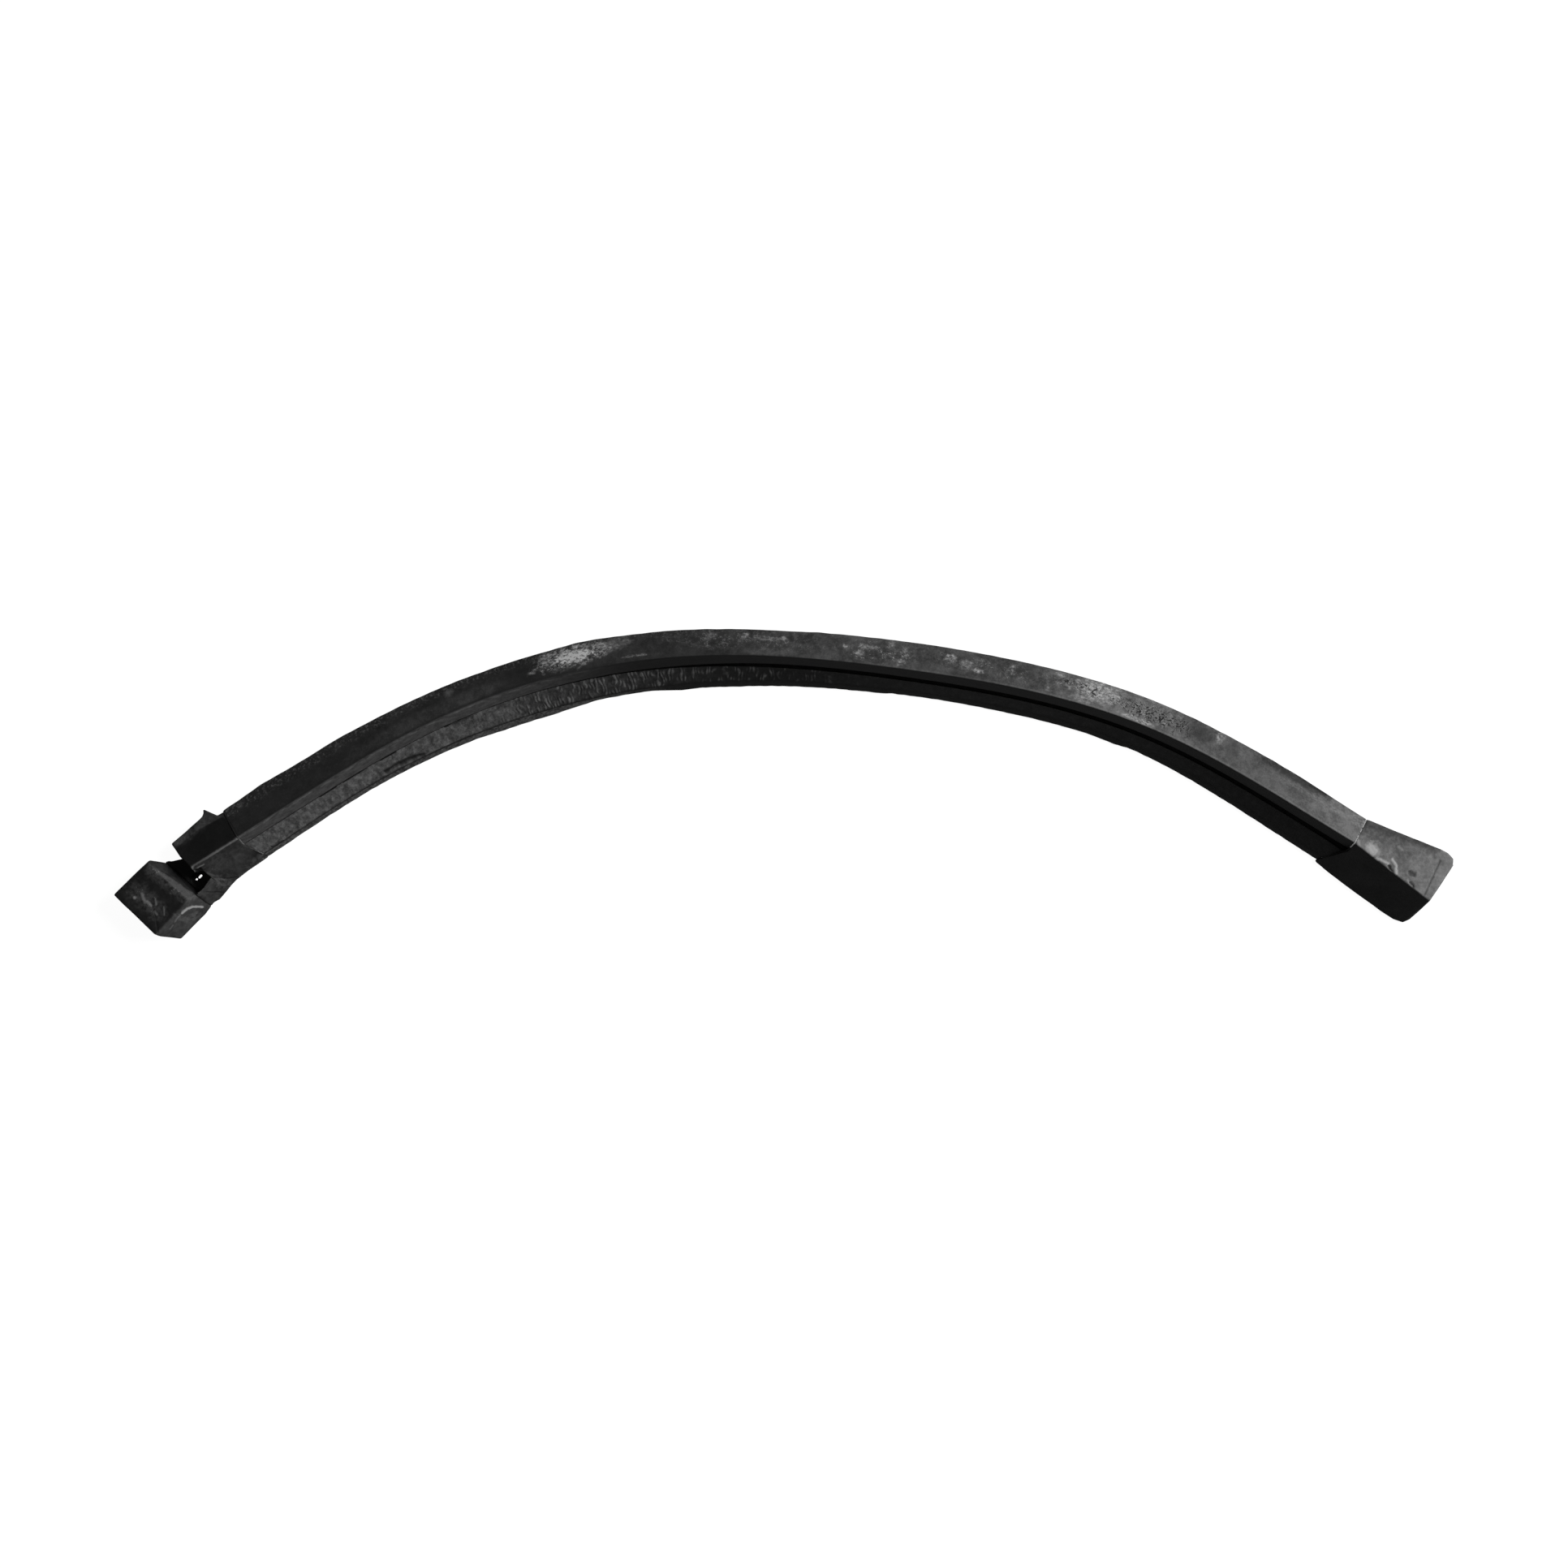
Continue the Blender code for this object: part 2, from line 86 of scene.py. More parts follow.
def ridgeLine():
    steps = int(strip["length"])
    bendAt = np.linspace(0, 1, len(strip["bendsPerMetre"]))
    bends = np.interp((np.arange(steps) + 0.5) / steps, bendAt, strip["bendsPerMetre"]) * mm
    heading = math.radians(strip["heading"]) + np.concatenate(([0.0], np.cumsum(bends)))
    middle = heading[:-1] + bends / 2
    x = strip["start"][0] + np.concatenate(([0.0], np.cumsum(np.cos(middle))))
    y = strip["start"][1] + np.concatenate(([0.0], np.cumsum(np.sin(middle))))
    return np.arange(steps + 1.0), x, y, heading


ridgeAt, ridgeX, ridgeY, ridgeHeading = ridgeLine()


def place(along, across, height):
    inside = np.clip(along, 0, strip["length"])
    heading = np.interp(inside, ridgeAt, ridgeHeading)
    rest = along - inside  # past both ends the ridge runs on straight
    x = np.interp(inside, ridgeAt, ridgeX) + np.cos(heading) * rest - np.sin(heading) * across
    y = np.interp(inside, ridgeAt, ridgeY) + np.sin(heading) * rest + np.cos(heading) * across
    return np.stack(np.broadcast_arrays(x, y, height), axis=-1) * mm


def reach(values, along):
    half = 0.5 / (len(values) - 1)
    at = np.linspace(0, 1, len(values))
    fractions = [along / strip["length"] + half * offset for offset in (-1.0, -0.5, 0.0, 0.5, 1.0)]
    return np.mean([np.interp(fraction, at, values) for fraction in fractions], axis=0)


def slanted(along, across):
    beyond = np.maximum(joint["from"] - across, 0)
    near = np.clip(1 - along / joint["fade"], 0, 1)
    far = np.clip(1 - (strip["length"] - along) / joint["fade"], 0, 1)
    return along + beyond * (joint["leftSlant"] * near - joint["rightSlant"] * far)


def stations(spacing, start=None, end=None):
    start = strip["setback"] if start is None else start
    end = strip["length"] - strip["setback"] if end is None else end
    return np.linspace(start, end, max(2, round((end - start) / spacing) + 1))


def rise(value, middle, soft):
    # 0 before middle and 1 after it, easing over a soft edge
    up = np.clip((value - middle + soft) / (2 * soft), 0, 1)
    return up * up * (3 - 2 * up)


def hump(value, low, high, soft):
    # 1 between low and high
    return rise(value, low, soft) * rise(-value, -high, soft)


def grain(a, b, c, seed=0.0):
    # smooth noise, -1 to 1, at each point
    flat = [np.ravel(part) for part in np.broadcast_arrays(a, b, c)]
    values = [noise.noise(Vector((x + seed, y - seed, z + 0.37 * seed))) for x, y, z in zip(*flat)]
    return np.array(values).reshape(np.broadcast(a, b, c).shape)


def pathGap(x, y, path):
    # distance from points to a line of points
    best = np.full(x.shape, 1e9)
    for (ax, ay), (bx, by) in zip(path, path[1:]):
        dx, dy = bx - ax, by - ay
        t = np.clip(((x - ax) * dx + (y - ay) * dy) / (dx * dx + dy * dy), 0, 1)
        best = np.minimum(best, np.hypot(x - ax - t * dx, y - ay - t * dy))
    return best


def roundedLoop(along, corners, arcSteps=4):
    # each corner is (across, height, radius, pieces of the side after it)
    points = [np.stack((u + 0 * along, z + 0 * along), axis=-1) for u, z, _, _ in corners]
    arcs = []
    for index, (_, _, radius, _) in enumerate(corners):
        here = points[index]
        if radius == 0:
            arcs.append([here])
            continue
        ends = []
        for other in (points[index - 1], points[(index + 1) % len(points)]):
            way = other - here
            size = np.linalg.norm(way, axis=-1, keepdims=True)
            ends.append(here + way / size * np.minimum(radius, size * 0.45))
        turn = np.linspace(0, 1, arcSteps + 1)
        arcs.append([ends[0] * (1 - t) ** 2 + here * 2 * t * (1 - t) + ends[1] * t * t for t in turn])
    loop = []
    for index, (_, _, _, pieces) in enumerate(corners):
        loop += arcs[index]
        first = arcs[index][-1]
        last = arcs[(index + 1) % len(corners)][0]
        loop += [first + (last - first) * step / pieces for step in range(1, pieces)]
    return np.stack(loop, axis=1)


def outwards(loops):
    way = np.roll(loops, -1, axis=1) - np.roll(loops, 1, axis=1)
    way /= np.maximum(np.linalg.norm(way, axis=-1, keepdims=True), 1e-9)
    turn = np.sum(loops[0, :, 0] * np.roll(loops[0, :, 1], -1) - np.roll(loops[0, :, 0], -1) * loops[0, :, 1])
    return np.stack((way[..., 1], -way[..., 0]), axis=-1) * (1 if turn > 0 else -1)


def meshPiece(name, mesh, finish, slotName, *nodes):
    piece = bpy.data.objects.new(name, mesh)
    bpy.context.collection.objects.link(piece)
    mesh.shade_smooth()
    mesh.materials.clear()
    mesh.materials.append(finish)
    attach(piece, "root")
    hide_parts(*nodes)
    return piece


def sweep(name, along, loops, hollow=None, marks=None, bend=None):
    # closed skin through the loops, with an inner skin as well where it is hollow
    # bend is the pair of points of a loop between which the end face is folded and made as two flats
    skins = [loops] if hollow is None else [loops, hollow]
    coords = []
    faces = []
    rings = []
    acrossAll = []
    alongAll = []
    made = 0
    for skin in skins:
        rows, count, _ = skin.shape
        shifted = slanted(along[:, None], skin[..., 0])
        coords.append(place(shifted, skin[..., 0], skin[..., 1]).reshape(-1, 3))
        alongAll.append(shifted.ravel())
        acrossAll.append(skin[..., 0].ravel())
        index = made + np.arange(rows * count).reshape(rows, count)
        after = np.roll(index, -1, axis=1)
        faces.append(np.stack((index[:-1], after[:-1], after[1:], index[1:]), axis=-1).reshape(-1, 4))
        rings.append((index[0], index[-1]))
        made += rows * count
    alike = hollow is not None and loops.shape == hollow.shape
    if alike:
        for outside, inside in zip(*rings):
            ends = (outside, np.roll(outside, -1), np.roll(inside, -1), inside)
            faces.append(np.stack(ends, axis=-1))
    mesh = bpy.data.meshes.new(name)
    mesh.from_pydata(np.concatenate(coords).tolist(), [], np.concatenate(faces).tolist())
    edit = bmesh.new()
    edit.from_mesh(mesh)
    edit.verts.ensure_lookup_table()
    for end in () if alike else (0, 1):
        edges = []
        for pair in rings:
            ring = [edit.verts[number] for number in pair[end]]
            if bend is None:
                edges += [edit.edges.get((ring[number - 1], ring[number])) for number in range(len(ring))]
                continue
            first, last = bend
            flats = [edit.faces.new(part) for part in (ring[first:last + 1], ring[last:] + ring[:first + 1])]
            bmesh.ops.triangulate(edit, faces=flats, ngon_method="EAR_CLIP")
        bmesh.ops.triangle_fill(edit, edges=edges, use_beauty=True)
    bmesh.ops.recalc_face_normals(edit, faces=edit.faces)
    edit.to_mesh(mesh)
    edit.free()
    layers = {"along": np.concatenate(alongAll), "across": np.concatenate(acrossAll)}
    layers.update(marks or {})
    for label, values in layers.items():
        mesh.attributes.new(label, "FLOAT", "POINT").data.foreach_set("value", np.float32(values))
    return mesh


class Wire:
    # a value socket; arithmetic on it adds Math nodes
    def __init__(self, finish, socket):
        self.finish = finish
        self.socket = socket

    def work(self, operation, first, second=0.0, clamp=False):
        settings = {"operation": operation, "use_clamp": clamp}
        return self.finish.node("ShaderNodeMath", settings, {0: first, 1: second})

    def __add__(self, other):
        return self.work("ADD", self, other)

    def __radd__(self, other):
        return self.work("ADD", other, self)

    def __sub__(self, other):
        return self.work("SUBTRACT", self, other)

    def __rsub__(self, other):
        return self.work("SUBTRACT", other, self)

    def __mul__(self, other):
        return self.work("MULTIPLY", self, other)

    def __rmul__(self, other):
        return self.work("MULTIPLY", other, self)

    def __truediv__(self, other):
        return self.work("DIVIDE", self, other)

    def clamped(self):
        return self.work("ADD", self, 0.0, clamp=True)

    def size(self):
        return self.work("ABSOLUTE", self)

    def between(self, low, high):
        # 0 below low, 1 above high, eased
        sockets = {0: self, 1: low, 2: high, 3: 0.0, 4: 1.0}
        return self.finish.node("ShaderNodeMapRange", {"interpolation_type": "SMOOTHSTEP"}, sockets)


class Finish:
    # one material, made of nodes
    def __init__(self, name):
        self.made = bpy.data.materials.new(name)
        self.made.use_nodes = True
        self.tree = self.made.node_tree
        self.shader = self.tree.nodes["Principled BSDF"]

    def node(self, kind, settings=None, sockets=None, out=0):
        made = self.tree.nodes.new(kind)
        for key, value in (settings or {}).items():
            setattr(made, key, value)
        for key, value in (sockets or {}).items():
            self.feed(made.inputs[key], value)
        return Wire(self, made.outputs[out])

    def feed(self, socket, value):
        if isinstance(value, Wire):
            self.tree.links.new(value.socket, socket)
        else:
            socket.default_value = value

    def layer(self, name):
        return self.node("ShaderNodeAttribute", {"attribute_name": name}, out="Fac")

    def where(self, stretch=(1.0, 1.0, 1.0)):
        # object position in millimetres, stretched
        here = self.node("ShaderNodeTexCoord", out="Object")
        scale = tuple(part / mm for part in stretch)
        return self.node("ShaderNodeVectorMath", {"operation": "MULTIPLY"}, {0: here, 1: scale})

    def onStrip(self, perAlong, perAcross, seed=0.0):
        # position on the strip, divided by a feature size each way
        parts = {0: self.layer("along") / perAlong, 1: self.layer("across") / perAcross, 2: seed}
        return self.node("ShaderNodeCombineXYZ", None, parts)

    def noise(self, where, size, detail=4.0, rough=0.55, warp=0.0):
        sockets = {"Vector": where, "Scale": 1.0 / size, "Detail": detail}
        sockets.update({"Roughness": rough, "Distortion": warp})
        return self.node("ShaderNodeTexNoise", None, sockets)

    def cells(self, where, size):
        return self.node("ShaderNodeTexVoronoi", {"feature": "F1"}, {"Vector": where, "Scale": 1.0 / size})

    def blend(self, amount, first, second):
        return self.node("ShaderNodeMix", {"data_type": "RGBA"}, {0: amount, 6: first, 7: second}, out=2)

    def close(self, colour, roughness, height=None, bump=0.3, **fixed):
        self.feed(self.shader.inputs["Base Color"], colour)
        self.feed(self.shader.inputs["Roughness"], roughness)
        if height is not None:
            # height is in millimetres
            sockets = {"Strength": bump, "Distance": mm, "Height": height}
            self.feed(self.shader.inputs["Normal"], self.node("ShaderNodeBump", None, sockets))
        for name, value in fixed.items():
            self.shader.inputs[name.replace("_", " ")].default_value = value
        return self.made


def grey(level, warm=0.0):
    return (level * (1 + warm), level, level * (1 - warm), 1.0)


# Bulb: smooth outer face, ridge, and the narrow inner band beside the groove.
# A spot is an oval on the strip: middle and half size along, middle and half size across, strength.
# "...Fades" and "...Grows" give where along the strip a change starts and ends.
bulb = {
    "wall": 2.2,
    "crown": 0.35,
    "dents": 0.16,
    "innerBand": 6.5,
    "grooveStart": 385.0,
    "grooveSoft": 60.0,
    "grooveCut": 1.3,
    "topFrom": 14.8,
    "edgeWander": (
        (0, 0.6), (35, 2.1), (55, 1.1), (75, 0.7), (95, 1.2), (125, 0.5), (215, -0.2), (262, 0.4), (280, 1.5),
        (300, 1.5), (312, 0.9), (350, 0.9), (435, 0.2), (455, 0.8), (540, 1.0), (575, 0.4), (645, -0.2),
        (760, 0.1), (820, 1.2), (877, 0.6),
    ),
    "edgeRipple": 0.22,
    "blisters": ((184.5, 14.0, 4.2, 0.6), (760.0, 7.0, 3.0, 0.35)),
    "dark": 0.0065,
    # film is the grey of the bloom film, which also carries painted light on the outer face
    "film": 0.20,
    "chalk": 0.60,
    "paintedShadeFades": (250.0, 400.0),
    "edgeSpecksFade": (260.0, 420.0),
    "ridgeHighlightGrows": (420.0, 700.0),
    "innerPaintedLightFades": (205.0, 330.0),
    # grey bloom film along the strip plus painted light: it rises towards the right end, where the outer face
    # is lit
    "filmAndLitSideAlong": (
        (0, 0.05), (100, 0.06), (215, 0.07), (240, 0.03), (300, 0.11), (380, 0.12), (430, 0.24),
        (480, 0.34), (560, 0.33), (605, 0.33), (640, 0.68), (690, 0.78), (735, 0.55), (790, 0.45),
        (825, 0.55), (850, 0.74), (877, 0.80),
    ),
    "filmSpots": (
        (150.0, 58.0, 5.5, 6.5, 0.11),
        (200.0, 28.0, 6.0, 6.0, 0.12),
        (184.5, 4.4, 14.0, 3.0, 0.30),
        (308.0, 14.0, 15.0, 6.0, 0.20),
        (420.0, 26.0, 3.0, 3.0, 0.16),
        (13.0, 3.0, 19.0, 2.5, 0.14),
        (96.0, 2.5, 18.0, 3.0, 0.14),
    ),
    "dullSpots": (
        (740.0, 14.0, 12.0, 8.0, 0.30),
        (611.0, 12.0, 12.0, 7.0, 0.12),
        (838.0, 13.0, 19.8, 2.4, 0.60),
        (812.0, 36.0, 18.6, 4.2, 0.42),
        (766.0, 6.0, 13.0, 7.0, 0.20),
        (445.0, 16.0, 14.0, 5.0, 0.15),
        (128.0, 3.0, 15.0, 4.0, 0.05),
    ),
    "chalkSpots": (
        (278.0, 14.5, 11.6, 4.6, 4.20),
        (276.0, 19.0, 12.0, 8.5, 1.10),
        (260.0, 13.0, 12.0, 8.0, 0.55),
        (297.0, 13.0, 13.0, 7.0, 0.55),
        (312.0, 10.0, 15.5, 5.0, 0.16),
        (272.0, 18.0, 5.5, 3.0, 0.35),
        (246.0, 4.0, 7.0, 1.5, 0.40),
        (322.0, 12.0, 3.8, 0.9, 0.35),
        (402.0, 3.0, 14.5, 3.0, 0.50),
        (416.0, 14.0, 13.0, 2.2, 0.28),
        (429.5, 2.4, 13.5, 1.6, 0.80),
        (378.0, 5.0, 14.5, 4.0, 0.18),
        (475.0, 2.2, 11.5, 1.6, 0.65),
        (490.0, 9.0, 12.6, 1.6, 0.45),
        (486.0, 5.0, 7.8, 1.8, 0.50),
        (508.0, 3.0, 16.0, 4.0, 0.40),
        (516.0, 5.5, 5.0, 2.6, 0.60),
        (519.0, 3.5, 11.0, 5.0, 0.32),
        (553.0, 6.0, 13.5, 3.0, 0.70),
        (565.0, 7.0, 10.0, 4.0, 0.35),
        (573.0, 4.8, 7.2, 2.0, 0.75),
        (597.5, 1.4, 12.5, 4.0, 0.50),
        (625.0, 2.2, 6.5, 4.5, 0.35),
        (632.0, 4.4, 17.0, 2.6, 0.50),
        (641.0, 8.0, 12.0, 3.0, 0.35),
        (661.0, 20.0, 12.5, 9.0, 0.95),
        (656.0, 9.0, 14.0, 4.0, 1.20),
        (652.0, 11.0, 4.0, 3.2, 0.50),
        (694.0, 17.0, 2.4, 2.0, 0.90),
        (705.0, 28.0, 11.0, 9.0, 0.26),
        (755.5, 3.8, 16.0, 4.6, 0.60),
        (840.0, 44.0, 13.5, 2.2, 0.16),
        (872.0, 9.0, 16.0, 5.0, 0.24),
    ),
    "scoredSpots": (
        (385.0, 44.0, 12.0, 8.0, 0.45),
        (432.0, 30.0, 11.0, 8.0, 0.45),
        (500.0, 32.0, 10.5, 9.0, 1.00),
        (562.0, 24.0, 11.0, 7.0, 1.00),
        (600.0, 20.0, 10.0, 9.0, 0.55),
        (638.0, 16.0, 13.0, 7.0, 0.80),
        (690.0, 40.0, 11.0, 9.0, 0.60),
    ),
    "pittedSpots": (
        (266.0, 20.0, 6.4, 2.8, 1.00),
        (250.0, 8.0, 12.0, 7.0, 0.70),
        (297.0, 9.0, 11.0, 5.0, 0.80),
        (656.0, 18.0, 11.5, 4.5, 1.00),
        (640.0, 8.0, 13.5, 3.0, 1.00),
        (704.0, 38.0, 10.0, 8.0, 1.20),
        (840.0, 14.0, 19.5, 2.5, 0.50),
        (515.0, 22.0, 9.0, 7.0, 0.40),
        (100.0, 6.0, 18.5, 3.0, 0.80),
    ),
}


def followed(pairs, along):
    at, values = zip(*pairs)
    return np.interp(along, at, values)


spotEdge = 0.75  # a spot's outline, as a share of its half sizes
spotSoft = 0.35


def spotted(spots, along, across, ragged):
    amount = np.zeros(across.shape)
    for middle, halfAlong, middleAcross, halfAcross, strength in spots:
        gap = np.hypot((along - middle) / halfAlong, (across - middleAcross) / halfAcross) + ragged
        amount = np.maximum(amount, strength * rise(-gap, -spotEdge, spotSoft))
    return amount


def bulbCorners(outer, band):
    return (
        (0.0, ridgeHeight + 0.15, 1.3, 20),
        (outer - 0.9, 15.6, 1.2, 1),
        (outer, 14.2, 1.0, 2),
        (outer - 0.9, 10.5, 1.6, 2),
        (outer - 4.0, bulbFloor, 1.0, 8),
        (-3.6, bulbFloor, 0.5, 2),
        (-3.8, 13.2, 1.2, 3),
        (-band - 0.1, 17.0, 0.7, 1),
        (-band, 18.4, 0.7, 6),
    )


def hollowCorners(outer):
    wall = bulb["wall"]
    return (
        (0.2, ridgeHeight - wall - 1.2, 1.0, 3),
        (outer - wall - 1.4, 14.0, 0.8, 1),
        (outer - wall - 2.2, 12.0, 0.8, 1),
        (outer - wall - 4.2, bulbFloor + wall, 0.8, 3),
        (-3.6 + wall, bulbFloor + wall, 0.6, 1),
        (-3.6 + wall, 14.2, 0.6, 1),
        (-3.8, 18.4, 0.6, 2),
    )


def bulbFinish():
    made = Finish("bulb rubber")
    where = made.where()
    along = made.layer("along")
    across = made.layer("across")
    outerFace = across.between(-0.3, 0.5)
    cloud = made.noise(where, 22.0, detail=5.0, rough=0.62)
    mottle = made.noise(where, 5.5, detail=6.0, rough=0.65)
    fine = made.noise(where, 1.9, detail=5.0, rough=0.7)
    speck = made.noise(where, 1.3, detail=3.0, rough=0.6)
    streak = made.noise(made.onStrip(9.0, 1.5), 1.0, detail=5.0, rough=0.65)
    pits = made.noise(where, 3.0, detail=3.0, rough=0.6, warp=1.8).between(0.53, 0.57) * made.layer("pitted")
    curl = made.noise(made.onStrip(3.6, 2.8), 1.0, detail=1.5, rough=0.5, warp=1.9)
    curls = (1 - (curl - 0.52).size() / 0.035).clamped() * mottle.between(0.44, 0.58) * made.layer("scored")
    grit = speck.between(0.40, 0.66)
    patchy = 0.26 + 0.70 * cloud.between(0.30, 0.72) + 0.40 * mottle.between(0.34, 0.68) + 0.35 * grit
    # the film layer is grey bloom plus painted light on the lit right leg
    film = made.layer("film") * patchy + fine.between(0.50, 0.72) * grit * 0.10
    # painted shade: the outer face is darkened next to the ridge on the left leg, fading out along the strip
    paintedShade = (1 - across / 2.2).clamped() * (1 - along.between(*bulb["paintedShadeFades"])) * 0.7
    edgeSpecks = across.between(13.0, 18.0) * fine.between(0.50, 0.64)
    edgeSpecks = edgeSpecks * (0.38 - 0.26 * along.between(*bulb["edgeSpecksFade"]))
    # painted highlight along the ridge, growing towards the right end
    paintedRidgeHighlight = (1 - (across - 0.8).size() / 1.1).clamped() * along.between(*bulb["ridgeHighlightGrows"]) * 0.35
    outerTone = film * (1 - paintedShade) + edgeSpecks + paintedRidgeHighlight
    # painted light on the inner band: lit on the left leg, fading to shade towards the right end
    innerPaintedLight = 0.30 - 0.29 * along.between(*bulb["innerPaintedLightFades"])
    innerLine = (1 - (across + 1.3).size() / 0.9).clamped() * streak.between(0.42, 0.60)
    scuffs = 0.45 + 0.55 * streak.between(0.34, 0.66) + 0.35 * fine.between(0.40, 0.66) + 0.9 * innerLine
    tone = (outerTone * outerFace + innerPaintedLight * scuffs * (1 - outerFace)).clamped()
    brushed = made.noise(made.onStrip(3.4, 1.6), 1.0, detail=5.0, rough=0.7)
    rubbed = made.layer("chalk") * (0.14 + 0.95 * brushed.between(0.42, 0.58))
    rubbed = rubbed * (0.55 + 0.6 * fine.between(0.42, 0.60))
    white = ((rubbed + curls * 0.75) * outerFace * (1 - 0.9 * pits)).clamped()
    colour = made.blend(tone, grey(bulb["dark"]), grey(bulb["film"]))
    colour = made.blend(white, colour, grey(bulb["chalk"]))
    colour = made.blend((pits * outerFace * 0.95).clamped(), colour, grey(bulb["dark"]))
    roughness = (0.46 + 0.14 * mottle + 0.16 * white).clamped()
    height = mottle * 0.10 + speck * 0.05 + streak * (1 - outerFace) * 0.12 + white * 0.08 - pits * 0.30
    return made.close(colour, roughness, height, bump=0.6, Specular_IOR_Level=0.42)


def makeBulb():
    along = stations(0.9)
    outer = reach(strip["outerReach"], along)
    rim = outer + followed(bulb["edgeWander"], along) + bulb["edgeRipple"] * grain(along / 9.0, 0.0, 0.0)
    band = bulb["innerBand"] - bulb["grooveCut"] * rise(along, bulb["grooveStart"], bulb["grooveSoft"])
    loops = roundedLoop(along, bulbCorners(rim, band), arcSteps=4)
    inside = roundedLoop(along, hollowCorners(outer), arcSteps=2)
    u = loops[..., 0]
    s = along[:, None] + 0 * u
    top = rise(u, 0.6, 1.2) * (loops[..., 1] > bulb["topFrom"])
    push = bulb["crown"] * np.sin(np.pi * np.clip(u / outer[:, None], 0, 1)) * top
    push += bulb["dents"] * grain(s / 14.0, u / 11.0, 0.0, seed=3.0) * top
    for middle, across, size, height in bulb["blisters"]:
        gap = np.hypot(s - middle, u - across) / size
        push += height * np.clip(1 - gap * gap, 0, 1) ** 1.5 * top
    loops = loops + outwards(loops) * push[..., None]
    ragged = 0.40 * grain(s / 5.0, u / 3.5, 0.0, seed=14.0) + 0.30 * grain(s / 1.7, u / 1.4, 0.0, seed=15.0)
    # grey bloom film, with painted light rising along the strip towards the right end
    film = followed(bulb["filmAndLitSideAlong"], s) + spotted(bulb["filmSpots"], s, u, 0.5 * ragged)
    film = np.clip(film - spotted(bulb["dullSpots"], s, u, ragged), 0, 1)
    marks = {"film": film.ravel()}
    for label in ("chalk", "scored", "pitted"):
        marks[label] = spotted(bulb[label + "Spots"], s, u, ragged).ravel()
    insideCount = inside.shape[0] * inside.shape[1]
    marks = {label: np.concatenate((values, np.zeros(insideCount))) for label, values in marks.items()}
    mesh = sweep("outer_bulb_skin", along, loops, hollow=inside, marks=marks)
    meshPiece("outer_bulb_skin", mesh, bulbFinish(), "bulb_rubber", "sealing_bulb")
    print("bulb skin done", len(mesh.polygons))


# Base: the dense strip that everything stands on
baseRail = {
    "dark": 0.008,
    "bloom": 0.060,
}


def baseCorners(inner):
    edge = -(inner - 2.75)
    return (
        (joint["from"], 0.0, 0, 4),
        (14.2, 0.0, 0.8, 1),
        (16.4, 1.4, 0.8, 3),
        (16.4, baseTop, 0.4, 1),
        (13.8, baseTop, 0.2, 1),
        (13.8, 5.6, 0.2, 1),
        (11.2, 5.6, 0.2, 1),
        (11.2, baseTop, 0.2, 1),
        (9.6, baseTop, 0.2, 1),
        (9.6, 6.2, 0.2, 2),
        (-2.0, 6.2, 0.2, 1),
        (-2.0, baseTop, 0.2, 2),
        (joint["from"], baseTop, 0, 1),
        (-7.4, baseTop, 0.3, 2),
        (-8.2, 12.6, 0.4, 4),
        (edge, 4.2, 0.5, 2),
        (edge, 0.7, 0.4, 1),
        (edge + 2.2, 0.0, 0.5, 4),
    )


def baseFinish():
    made = Finish("base rubber")
    where = made.where()
    mottle = made.noise(where, 6.0, detail=6.0, rough=0.62)
    speck = made.noise(where, 0.9, detail=3.0)
    dust = mottle.between(0.42, 0.72) * 0.6 + speck.between(0.62, 0.76) * 0.3
    colour = made.blend(dust.clamped(), grey(baseRail["dark"]), grey(baseRail["bloom"]))
    height = mottle * 0.12 + speck * 0.05
    return made.close(colour, 0.5 + 0.2 * mottle, height, bump=0.5, Specular_IOR_Level=0.35)


def makeBase():
    along = stations(2.5)
    inner = reach(strip["innerReach"], along)
    loops = roundedLoop(along, baseCorners(inner), arcSteps=2)
    bend = np.flatnonzero(loops[0, :, 0] == joint["from"])
    mesh = sweep("base_rail", along, loops, bend=bend)
    meshPiece("base_rail", mesh, baseFinish(), "base_rubber", "base_extrusion")
    print("base rail done", len(mesh.polygons))


